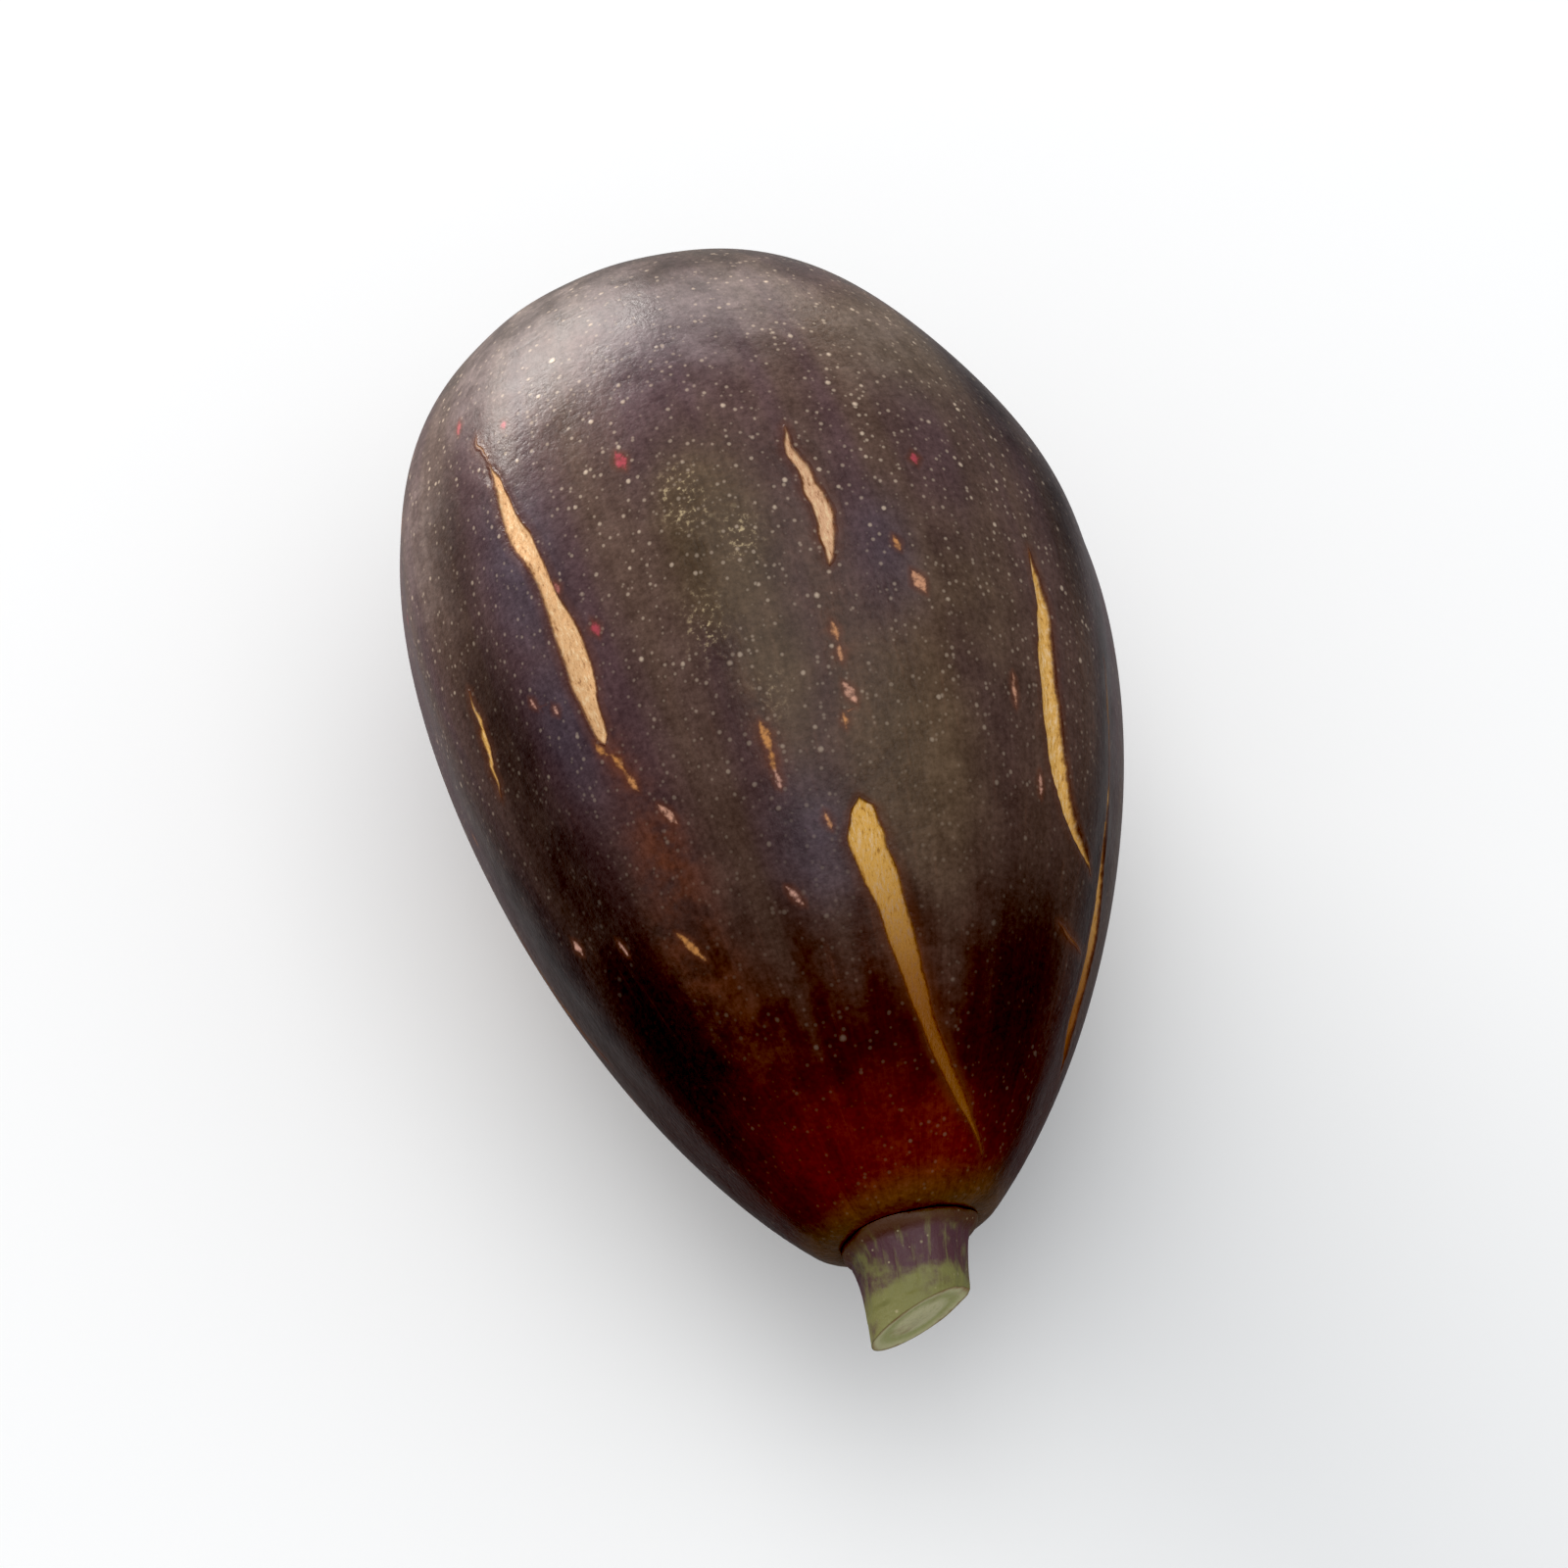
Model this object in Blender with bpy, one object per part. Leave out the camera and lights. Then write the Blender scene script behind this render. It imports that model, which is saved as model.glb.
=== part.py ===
"""A fresh dark fig, whole and as picked, lying on its side.

Metres, +Z up. The fig's own axis is local Y of an empty that carries the pieces: the eye
looks towards +Y and the stalk points towards -Y. The empty tips the neck down a little, as
the fruit settles by itself, and puts the middle of its small resting flat at the origin.

A place on the skin is given by two numbers: how far it is along the axis from the eye end,
and its angle round the axis, 0 on the right (+X) and 90 degrees on top.
"""

import math

import bmesh
import bpy
import numpy as np
from mathutils import Matrix, Vector

MM = 0.001

# The fruit: a pear curve turned about the axis, with a short neck
PEAR_LENGTH = 69.6 * MM
BELLY_RADIUS = 22.3 * MM
PEAR_FATNESS = 0.33
PEAR_TAPER = 0.02
FRUIT_LENGTH = 67.4 * MM
NECK_RADIUS = 3.4 * MM
NECK_BLEND = 0.9 * MM
NECK_STARTS = 45.0 * MM
NECK_FORMED = 57.0 * MM

# What grew unevenly: the axis bows, and one shoulder is pressed flat
AXIS_BOW = 2.1 * MM
PRESSED_TOWARDS = Vector((0.84, 0.52, 0.14)).normalized()
PRESSED_AT = 10.0 * MM
PRESSED_EDGE = 1.6 * MM
RIBS = 11
RIB_HEIGHT = 0.20 * MM
LUMP_HEIGHT = 0.30 * MM

# The eye: a small pit at the fat end, closed by overlapping scales
EYE_PIT_RADIUS = 3.3 * MM
EYE_PIT_DEPTH = 2.4 * MM
EYE_DIMPLE_RADIUS = 5.5 * MM
EYE_DIMPLE_DEPTH = 0.7 * MM
EYE_SCALE_THICKNESS = 0.62 * MM
CLEARANCE = 0.3 * MM
# Rings of eye scales. Each: how many, root radius, root depth below the skin, length, width,
# rise from the skin's plane at the root, how much they curl back, sharpness, turn of the ring.
EYE_RINGS = (
    (8, 1.8, 0.55, 2.5, 2.1, 52, 62, 0.8, 0),
    (7, 1.3, 1.1, 2.2, 1.7, 78, 42, 0.7, 17),
    (4, 0.8, 1.6, 1.5, 1.2, 98, -14, 0.6, 40),
)
EYE_SCALE_WANDER = 0.10

# The stalk stub, let into the neck's end, with a low collar of three bracts
SOCKET_RADIUS = 3.3 * MM
SOCKET_DEPTH = 1.4 * MM
STALK_LENGTH = 5.6 * MM
STALK_ROOT_RADIUS = 3.85 * MM
STALK_RADIUS = 3.25 * MM
STALK_NARROWS_OVER = 1.6 * MM
COLLAR_RADIUS = 4.25 * MM
COLLAR_LOBE = 0.4 * MM
COLLAR_RIM = 0.5 * MM
COLLAR_HEIGHT = 0.9 * MM
BRACTS = 3
FURROWS = 5
FURROW_DEPTH = 0.12 * MM
STALK_CUT_SLOPE = math.radians(17)

# How it lies
NECK_DROOP = math.radians(5.5)
RESTING_FLAT_DEPTH = 0.5 * MM

# Mesh fineness
STEPS_ROUND = 66
RINGS_ALONG = 42
STALK_STEPS = 30

# Splits in the skin. Each: its depth in millimetres, and its course as places on the skin:
# millimetres along, degrees round, and half the split's width there.
SPLITS = {
    "left": (0.42, ((16.3, 134, 0), (22, 132, 0.65), (26, 130, 0.5), (32, 129, 0.88), (37, 130, 0))),
    "upper": (0.36, ((21.4, 83, 0), (23, 84, 0.3), (27, 82, 0.68), (31, 84, 0))),
    "front": (0.50, ((46, 88, 0.2), (48.5, 88, 1.2), (54, 84, 0.75), (59, 78, 0.54), (65.5, 48, 0))),
    "right": (0.42, ((30.5, 44, 0), (35, 44, 0.55), (41, 44, 0.8), (47, 39, 0.55), (50, 27, 0))),
    "low_right": (0.40, ((43, 19, 0), (48, 19, 0.5), (53, 15, 1.0), (57.5, 15, 0.8), (60, 7, 0))),
    "under_left": (0.45, ((24, 212, 0), (31, 216, 0.8), (38, 212, 0.7), (46, 221, 0))),
    "under_right": (0.42, ((34, 320, 0), (41, 316, 0.5), (48, 321, 0.8), (56, 314, 0))),
    "under_neck": (0.36, ((49, 248, 0), (52, 246, 0.6), (55, 245, 0.5), (60, 252, 0))),
}
SPLIT_PIECES = 12
SPLIT_HEADROOM = 0.4 * MM
SPLIT_FLARE = 1.6


def material(name, colour, roughness):
    made = bpy.data.materials.new(name)
    made.use_nodes = True
    shader = made.node_tree.nodes["Principled BSDF"]
    shader.inputs["Base Color"].default_value = (*colour, 1.0)
    shader.inputs["Roughness"].default_value = roughness
    shader.inputs["Metallic"].default_value = 0.0
    return made


def pear_shape(turn):
    """Radius of the pear curve, not yet to size, at a turn of 0 at the eye and pi at the stalk."""
    return np.sin(turn) * (1 + PEAR_FATNESS * np.cos(turn) + PEAR_TAPER * np.cos(3 * turn))


WIDEST = pear_shape(np.linspace(0, math.pi, 721)).max()


def turn_at(along):
    return np.arccos(np.clip(1 - 2 * along / PEAR_LENGTH, -1, 1))


def skin_radius(along):
    """Radius of the plain turned fruit, where the pear curve runs softly into the neck."""
    along = np.asarray(along, float)
    pear = BELLY_RADIUS * pear_shape(turn_at(along)) / WIDEST
    necked = 0.5 * (pear + NECK_RADIUS + np.sqrt((pear - NECK_RADIUS) ** 2 + 4 * NECK_BLEND**2))
    share = np.clip((along - NECK_STARTS) / (NECK_FORMED - NECK_STARTS), 0, 1)
    return pear + (necked - pear) * share


def unevenness(along, around):
    """How far ribs and broad lumps lift the skin: nothing at the eye and at the neck's end."""
    fade = np.sin(math.pi * np.clip(along / FRUIT_LENGTH, 0, 1)) ** 0.8
    ribs = np.cos(RIBS * around + 0.9 * np.sin(2 * around + 0.5) + 0.5 * np.sin(along / (9 * MM)))
    lumps = np.cos(2 * around + 1.1 + along / (26 * MM)) + 0.7 * np.cos(3 * around - 0.7 - along / (17 * MM))
    return fade * (RIB_HEIGHT * ribs + LUMP_HEIGHT * lumps)


def grow_uneven(points):
    """Sinks the eye, bows the axis and presses the right shoulder flat. Every piece goes through this."""
    grown = np.array(points, float)
    from_axis = np.hypot(grown[:, 0], grown[:, 2])
    at_eye = np.exp(-((from_axis / EYE_DIMPLE_RADIUS) ** 2)) * (grown[:, 1] > -BELLY_RADIUS)
    grown[:, 1] -= EYE_DIMPLE_DEPTH * at_eye
    middle = FRUIT_LENGTH / 2
    grown[:, 0] += AXIS_BOW * (1 - ((-grown[:, 1] - middle) / middle) ** 2)
    towards = np.array(PRESSED_TOWARDS)
    beyond = PRESSED_EDGE * np.logaddexp(0, (grown @ towards - PRESSED_AT) / PRESSED_EDGE)
    return grown - beyond[:, None] * towards


def on_skin(along, around):
    """Points of the finished skin, before splits."""
    radius = skin_radius(along) + unevenness(along, around)
    straight = np.stack([radius * np.cos(around), -along, radius * np.sin(around)], axis=-1)
    return grow_uneven(straight)


def eased_course(places, pieces):
    """A smooth course through a few places, by a spline that passes through each."""
    knots = np.array(places, float)
    padded = np.vstack([2 * knots[0] - knots[1], knots, 2 * knots[-1] - knots[-2]])
    found = []
    for step in np.linspace(0, len(knots) - 1, pieces + 1):
        first = min(int(step), len(knots) - 2)
        t = step - first
        a, b, c, d = padded[first : first + 4]
        found.append(
            b + 0.5 * t * (c - a + t * (2 * a - 5 * b + 4 * c - d + t * (3 * (b - c) + d - a)))
        )
    return np.array(found)


def skin_normal(along, around):
    """Outward direction of the skin at places on it."""
    step = 0.5 * MM
    lengthwise = on_skin(along + step, around) - on_skin(along - step, around)
    turn = step / BELLY_RADIUS
    crosswise = on_skin(along, around + turn) - on_skin(along, around - turn)
    outward = np.cross(crosswise, lengthwise)
    return outward / np.linalg.norm(outward, axis=1)[:, None]


def divided_box(pieces, across):
    """A unit cube about the origin, divided into pieces along X and into parts along Z."""
    bm = bmesh.new()
    bmesh.ops.create_cube(bm, size=1)
    lengthwise = [edge for edge in bm.edges if abs(edge.verts[0].co.x - edge.verts[1].co.x) > 0.5]
    bmesh.ops.subdivide_edges(bm, edges=lengthwise, cuts=pieces - 1, use_grid_fill=True)
    if across > 1:
        crosswise = [edge for edge in bm.edges if abs(edge.verts[0].co.z - edge.verts[1].co.z) > 0.5]
        bmesh.ops.subdivide_edges(bm, edges=crosswise, cuts=across - 1, use_grid_fill=True)
    return bm


def split_cutter(depth, places):
    """A wedge that follows a split's course: above the skin at its ends, deepest where it is widest."""
    course = eased_course(places, SPLIT_PIECES)
    along, around = course[:, 0] * MM, np.radians(course[:, 1])
    points, normals = on_skin(along, around), skin_normal(along, around)
    sides = np.cross(normals, np.gradient(points, axis=0))
    sides /= np.linalg.norm(sides, axis=1)[:, None]
    half_width = course[:, 2].max()
    open_share = np.maximum(course[:, 2], 0) / half_width
    bm = divided_box(SPLIT_PIECES, 1)
    for vertex in bm.verts:
        number = round((vertex.co.x + 0.5) * SPLIT_PIECES)
        opened = open_share[number]
        width = half_width * MM * max(opened, 0.08)
        if vertex.co.y > 0:
            reach, height = SPLIT_FLARE * width, SPLIT_HEADROOM
        else:
            reach, height = 0.4 * width, 0.8 * SPLIT_HEADROOM * (1 - opened) ** 4 - depth * MM * opened
        side = math.copysign(reach, vertex.co.z)
        vertex.co = points[number] + side * sides[number] + height * normals[number]
    face_outwards(bm)
    return bm


def coordinates(bm):
    return np.array([vertex.co[:] for vertex in bm.verts])


def place(bm, points):
    for vertex, point in zip(bm.verts, points):
        vertex.co = point


def face_outwards(bm):
    """Turns every face outwards: evenly first, then all together where the volume comes out negative."""
    bmesh.ops.recalc_face_normals(bm, faces=bm.faces[:])
    if bm.calc_volume(signed=True) < 0:
        bmesh.ops.reverse_faces(bm, faces=bm.faces[:])


def turned(outline, steps):
    """A solid of revolution about the Y axis, from (along, radius) points that start and end on it."""
    bm = bmesh.new()
    verts = [bm.verts.new((radius, -along, 0)) for along, radius in outline]
    edges = [bm.edges.new(pair) for pair in zip(verts, verts[1:])]
    bmesh.ops.spin(
        bm,
        geom=verts + edges,
        cent=(0, 0, 0),
        axis=(0, 1, 0),
        angle=2 * math.pi,
        steps=steps,
        use_merge=True,
    )
    bmesh.ops.remove_doubles(bm, verts=bm.verts[:], dist=1e-6)
    face_outwards(bm)
    return bm


def cut_flat(bm, point, outward):
    """Cuts away what lies outward of a plane, and closes the cut with one flat face."""
    everything = bm.verts[:] + bm.edges[:] + bm.faces[:]
    cut = bmesh.ops.bisect_plane(bm, geom=everything, plane_co=point, plane_no=outward, clear_outer=True)
    rim = [item for item in cut["geom_cut"] if isinstance(item, bmesh.types.BMEdge)]
    flat = bmesh.ops.contextual_create(bm, geom=rim)["faces"][0]
    face_outwards(bm)
    return flat


def finish(name, bm, parent, finish_material):
    mesh = bpy.data.meshes.new(name)
    bm.to_mesh(mesh)
    bm.free()
    mesh.materials.append(finish_material)
    mesh.shade_smooth()
    mesh.set_sharp_from_angle(angle=math.radians(40))
    made = bpy.data.objects.new(name, mesh)
    made.parent = parent
    bpy.context.scene.collection.objects.link(made)
    return made


def keep_largest_body(mesh):
    """Drops loose scraps and the walls of hollows that a union has sealed, so one solid body stays."""
    bm = bmesh.new()
    bm.from_mesh(mesh)
    waiting = set(bm.verts)
    bodies = []
    while waiting:
        body = set()
        reached = [waiting.pop()]
        while reached:
            vertex = reached.pop()
            body.add(vertex)
            for edge in vertex.link_edges:
                other = edge.other_vert(vertex)
                if other in waiting:
                    waiting.remove(other)
                    reached.append(other)
        bodies.append(body)
    bodies.sort(key=len)
    for scrap in bodies[:-1]:
        bmesh.ops.delete(bm, geom=list(scrap), context="VERTS")
    bm.to_mesh(mesh)
    bm.free()


def combine(target, operation, others):
    """Joins the other objects to the target, or cuts them from it, and removes them."""
    group = bpy.data.collections.new("others")
    bpy.context.scene.collection.children.link(group)
    for other in others:
        group.objects.link(other)
    bpy.context.view_layer.update()
    boolean = target.modifiers.new("combine", "BOOLEAN")
    boolean.operation = operation
    boolean.operand_type = "COLLECTION"
    boolean.collection = group
    evaluated = target.evaluated_get(bpy.context.evaluated_depsgraph_get())
    combined = bpy.data.meshes.new_from_object(evaluated)
    target.modifiers.remove(boolean)
    keep_largest_body(combined)
    target.data = combined
    for other in others:
        bpy.data.objects.remove(other)
    bpy.data.collections.remove(group)


def fruit_outline():
    """The fruit's half section: pit floor, pit wall, skin from lip to neck, end face, socket."""
    near_eye = np.linspace(0, 1 * MM, 60)
    lip_along = float(np.interp(EYE_PIT_RADIUS, skin_radius(near_eye), near_eye))
    turns = np.linspace(float(turn_at(lip_along)), float(turn_at(FRUIT_LENGTH)), RINGS_ALONG)
    alongs = PEAR_LENGTH / 2 * (1 - np.cos(turns))
    skin = [(along, float(skin_radius(along))) for along in alongs]
    pit = [
        (EYE_PIT_DEPTH, 0),
        (EYE_PIT_DEPTH, 0.55 * EYE_PIT_RADIUS),
        (0.7 * EYE_PIT_DEPTH, 0.97 * EYE_PIT_RADIUS),
    ]
    socket_floor = FRUIT_LENGTH - SOCKET_DEPTH
    socket = [(FRUIT_LENGTH, SOCKET_RADIUS), (socket_floor, SOCKET_RADIUS), (socket_floor, 0)]
    return pit + skin + socket


def fruit_shape():
    bm = turned(fruit_outline(), STEPS_ROUND)
    points = coordinates(bm)
    along, around = -points[:, 1], np.arctan2(points[:, 2], points[:, 0])
    radius = np.hypot(points[:, 0], points[:, 2])
    is_skin = radius > 0.9 * skin_radius(along)
    lift = np.where(is_skin, unevenness(along, around), 0)
    points[:, 0] += lift * np.cos(around)
    points[:, 2] += lift * np.sin(around)
    place(bm, grow_uneven(points))
    return bm


def rest_on_flat(bm, carrier):
    """Tips the carrier, cuts the resting flat and brings the flat's middle to the origin."""
    carrier.rotation_euler = (NECK_DROOP, 0, 0)
    tip = Matrix.Rotation(NECK_DROOP, 3, "X")
    lowest = min((tip @ vertex.co).z for vertex in bm.verts)
    height = lowest + RESTING_FLAT_DEPTH
    down = tip.inverted() @ Vector((0, 0, -1))
    flat = cut_flat(bm, -height * down, down)
    middle = tip @ flat.calc_center_bounds()
    carrier.location = -middle
    bpy.context.view_layer.update()


def build_fruit(carrier, skin_material):
    """The fruit with its resting flat cut and its splits opened. It settles the carrier as well."""
    shape = fruit_shape()
    rest_on_flat(shape, carrier)
    fruit = finish("fruit", shape, carrier, skin_material)
    cutters = []
    for name, split in SPLITS.items():
        cutters.append(finish(f"split_{name}", split_cutter(*split), carrier, skin_material))
    combine(fruit, "DIFFERENCE", cutters)


def scale_blade(length, width, rise, curl, sharpness):
    """One eye scale as a closed curved blade: root at the origin, growing along +X, rising to +Y."""
    bm = divided_box(4, 2)
    for vertex in bm.verts:
        reach, side = vertex.co.x + 0.5, 2 * vertex.co.z
        lean = rise - curl * reach
        out = length * (math.sin(rise) - math.sin(lean)) / curl
        up = length * (math.cos(lean) - math.cos(rise)) / curl
        half_width = 0.5 * width * max(0.15, 1 - reach**2.2) ** sharpness
        lift = EYE_SCALE_THICKNESS * vertex.co.y + 0.2 * half_width * side * side
        vertex.co = (out - lift * math.sin(lean), up + lift * math.cos(lean), side * half_width)
    face_outwards(bm)
    return bm


def eye_scale_blades():
    """Every scale of the eye, each turned to its place in its ring."""
    blades = []
    for ring, (count, root, depth, length, width, rise, curl, sharpness, offset) in enumerate(EYE_RINGS):
        for number in range(count):
            wander = math.sin(2.3 * number + 1.7 * ring)
            blade = scale_blade(
                length * MM * (1 + EYE_SCALE_WANDER * wander),
                width * MM * (1 - EYE_SCALE_WANDER * wander),
                math.radians(rise + 5 * wander),
                math.radians(curl),
                sharpness,
            )
            angle = math.radians(offset + 360 * number / count + 5 * wander)
            bmesh.ops.translate(blade, verts=blade.verts[:], vec=(root * MM, -depth * MM, 0))
            bmesh.ops.rotate(
                blade, verts=blade.verts[:], cent=(0, 0, 0), matrix=Matrix.Rotation(angle, 3, "Y")
            )
            blades.append(blade)
    return blades


def build_eye_scales(carrier, scale_material):
    """A ragged rosette of bracts on a small plug that fills the pit."""
    plug_radius = EYE_PIT_RADIUS - CLEARANCE - 0.1 * MM
    floor = EYE_PIT_DEPTH - CLEARANCE
    outline = [
        (floor, 0),
        (floor, 0.5 * plug_radius),
        (0.62 * EYE_PIT_DEPTH, 0.93 * plug_radius),
        (0.30 * EYE_PIT_DEPTH, 0.97 * plug_radius),
        (0.34 * EYE_PIT_DEPTH, 0.62 * plug_radius),
        (0.66 * EYE_PIT_DEPTH, 0.22 * plug_radius),
        (0.70 * EYE_PIT_DEPTH, 0),
    ]
    plug = turned(outline, 20)
    place(plug, grow_uneven(coordinates(plug)))
    scales = finish("eye_scales", plug, carrier, scale_material)
    pieces = []
    for number, blade in enumerate(eye_scale_blades()):
        place(blade, grow_uneven(coordinates(blade)))
        pieces.append(finish(f"eye_scale_{number}", blade, carrier, scale_material))
    combine(scales, "UNION", pieces)


def build_stalk(carrier, stalk_material):
    """The stalk stub: a foot in the neck's socket, a three-lobed collar of bracts, and an oblique cut."""
    start = FRUIT_LENGTH - SOCKET_DEPTH + CLEARANCE
    face = FRUIT_LENGTH + CLEARANCE
    foot = SOCKET_RADIUS - CLEARANCE
    end = FRUIT_LENGTH + 1.5 * STALK_LENGTH
    above_collar = face + COLLAR_HEIGHT
    outline = [(start, 0), (start, foot), (face, foot), (face, COLLAR_RADIUS)]
    outline += [(face + COLLAR_RIM, COLLAR_RADIUS), (above_collar, STALK_ROOT_RADIUS)]
    for along in np.linspace(above_collar + 0.7 * MM, end, 7):
        narrowed = math.exp(-(along - above_collar) / STALK_NARROWS_OVER)
        outline.append((along, STALK_RADIUS + (STALK_ROOT_RADIUS - STALK_RADIUS) * narrowed))
    outline += [(end, 0)]
    bm = turned(outline, STALK_STEPS)
    points = coordinates(bm)
    along, around = -points[:, 1], np.arctan2(points[:, 2], points[:, 0])
    radius = np.hypot(points[:, 0], points[:, 2])
    is_collar = radius > 0.5 * (COLLAR_RADIUS + STALK_ROOT_RADIUS)
    is_stalk_side = (along > face + COLLAR_RIM) * (radius > 0.5 * STALK_RADIUS)
    lobes = COLLAR_LOBE * np.maximum(0, np.cos(BRACTS * around)) * is_collar
    furrows = FURROW_DEPTH * np.cos(FURROWS * around + 0.6) * is_stalk_side
    lift = lobes + furrows
    points[:, 0] += lift * np.cos(around)
    points[:, 2] += lift * np.sin(around)
    place(bm, points)
    across = Vector((math.sin(STALK_CUT_SLOPE), -math.cos(STALK_CUT_SLOPE), 0))
    cut_flat(bm, Vector((0, -FRUIT_LENGTH - STALK_LENGTH, 0)), across)
    bmesh.ops.triangulate(bm, faces=bm.faces[:])
    place(bm, grow_uneven(coordinates(bm)))
    finish("stem", bm, carrier, stalk_material)


def main():
    for left_over in list(bpy.data.objects):
        bpy.data.objects.remove(left_over)
    carrier = bpy.data.objects.new("fig", None)
    bpy.context.scene.collection.objects.link(carrier)
    build_fruit(carrier, material("dark plum skin", (0.045, 0.022, 0.030), 0.38))
    build_eye_scales(carrier, material("russet eye scale", (0.33, 0.11, 0.06), 0.6))
    build_stalk(carrier, material("green purple stalk", (0.26, 0.20, 0.12), 0.5))


main()
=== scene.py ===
"""A fresh dark fig lying on a pale floor: its skin with splits and pores, its eye, its stalk."""

import math

import bmesh
import bpy
import numpy as np
from mathutils import Matrix, Vector


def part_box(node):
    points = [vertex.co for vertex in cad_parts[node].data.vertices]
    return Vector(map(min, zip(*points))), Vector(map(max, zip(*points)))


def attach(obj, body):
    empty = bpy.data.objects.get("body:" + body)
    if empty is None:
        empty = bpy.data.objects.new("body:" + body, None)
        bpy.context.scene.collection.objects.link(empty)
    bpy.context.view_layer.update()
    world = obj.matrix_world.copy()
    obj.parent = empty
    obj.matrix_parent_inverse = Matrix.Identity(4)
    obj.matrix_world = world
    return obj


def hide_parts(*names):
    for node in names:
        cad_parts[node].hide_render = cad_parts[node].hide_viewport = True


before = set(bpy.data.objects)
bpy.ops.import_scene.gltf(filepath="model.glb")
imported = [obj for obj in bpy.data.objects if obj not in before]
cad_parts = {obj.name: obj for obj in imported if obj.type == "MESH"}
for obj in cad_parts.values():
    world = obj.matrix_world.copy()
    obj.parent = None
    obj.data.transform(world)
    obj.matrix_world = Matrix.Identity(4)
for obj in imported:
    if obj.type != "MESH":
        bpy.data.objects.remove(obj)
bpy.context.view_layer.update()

MM = 0.001

# The fruit's form, as in the solids
PEAR_LENGTH = 69.6 * MM
BELLY_RADIUS = 22.3 * MM
PEAR_FATNESS = 0.33
PEAR_TAPER = 0.02
FRUIT_LENGTH = 67.4 * MM
NECK_RADIUS = 3.4 * MM
NECK_BLEND = 0.9 * MM
NECK_STARTS = 45.0 * MM
NECK_FORMED = 57.0 * MM
AXIS_BOW = 2.1 * MM
PRESSED_TOWARDS = np.array(Vector((0.84, 0.52, 0.14)).normalized())
PRESSED_AT = 10.0 * MM
PRESSED_EDGE = 1.6 * MM
RIBS = 11
RIB_HEIGHT = 0.20 * MM
RIBS_SWAY_OVER = 9 * MM
LUMP_HEIGHT = 0.30 * MM
TWO_LUMPS_TURN_OVER = 26 * MM
THREE_LUMPS_TURN_OVER = 17 * MM
EYE_PIT_RADIUS = 3.3 * MM
EYE_PIT_DEPTH = 2.4 * MM
EYE_DIMPLE_RADIUS = 5.5 * MM
EYE_DIMPLE_DEPTH = 0.7 * MM
SOCKET_RADIUS = 3.3 * MM
SOCKET_DEPTH = 1.4 * MM
NECK_DROOP = math.radians(5.5)
NECK_EDGE = 0.7 * MM

# How finely the skin is made, and how closely its curve and its lie are measured
SKIN_STEPS = 360
SKIN_RINGS = 236
CURVE_SAMPLES = 4000
SAMPLES_BY_THE_EYE = 200
WIDEST_SAMPLES = 721
LIE_SAMPLES_ALONG = 400
LIE_SAMPLES_AROUND = 181
LIE_STARTS = 0.2 * MM
PROBE_STEP = 0.5 * MM
SKIN_SHARE = 0.998

# Splits. Each: its depth, how golden its bed is, and its course as places on the skin:
# millimetres along, degrees round, and half the split's width there. Lengths in millimetres.
SPLITS = (
    (
        0.34,
        0.3,
        ((16.3, 134, 0), (18, 133, 0.32), (22, 132, 0.7), (26, 130, 0.58), (32, 129, 0.9), (36.6, 130, 0.4)),
    ),
    (0.30, 0.0, ((21.2, 83, 0), (23, 84, 0.32), (25.5, 83, 0.48), (28.4, 82, 0.6), (31, 84, 0.15))),
    (
        0.40,
        1.0,
        ((46.2, 88, 0.75), (49, 88, 1.2), (54, 84, 0.8), (59, 78, 0.54), (63, 65, 0.34), (65.5, 48, 0)),
    ),
    (0.32, 0.9, ((30.5, 44, 0), (35, 44, 0.55), (41, 44, 0.8), (47, 39, 0.55), (50, 27, 0))),
    (0.32, 0.8, ((43, 19, 0), (48, 19, 0.5), (53, 15, 1.0), (57.5, 15, 0.8), (60, 7, 0))),
    (0.33, 0.5, ((24, 212, 0), (31, 216, 0.8), (38, 212, 0.7), (46, 221, 0))),
    (0.30, 0.9, ((34, 320, 0), (41, 316, 0.5), (48, 321, 0.8), (56, 314, 0))),
    (0.28, 0.7, ((49, 248, 0), (52, 246, 0.6), (55, 245, 0.5), (60, 252, 0))),
    (0.14, 0.9, ((28.6, 154, 0), (31, 155, 0.24), (33.5, 156, 0.22), (35.5, 158, 0))),
    (0.06, 0.3, ((53.2, 38, 0), (53.8, 33, 0.1), (54.3, 24, 0))),
    (0.08, 0.9, ((36, 22, 0), (39, 21, 0.13), (43, 19, 0))),
    (0.06, 0.1, ((13.6, 137, 0), (14.6, 136, 0.1), (16.4, 134, 0))),
    (0.08, 0.6, ((20, 262, 0), (25, 259, 0.15), (31, 263, 0))),
    (0.06, 0.4, ((40, 188, 0), (45, 190, 0.12), (51, 186, 0))),
)
SPLIT_WANDER = 0.35
SPLIT_MARGIN = 0.9
SPLIT_LIP = 0.05 * MM
SPLIT_LIP_AWAY = 0.25
SPLIT_LIP_SPREAD = 0.3
SPLIT_ROUNDNESS = 0.6
SPLIT_FULL_DEPTH_WIDTH = 0.4

# Marks are splits and flecks. A skin point off every mark has the offset named last.
COURSE_POINTS = 260
SHORT_COURSE_POINTS = 32
MARK_REACH = 3 * MM
NO_MARK = 9.0

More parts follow.
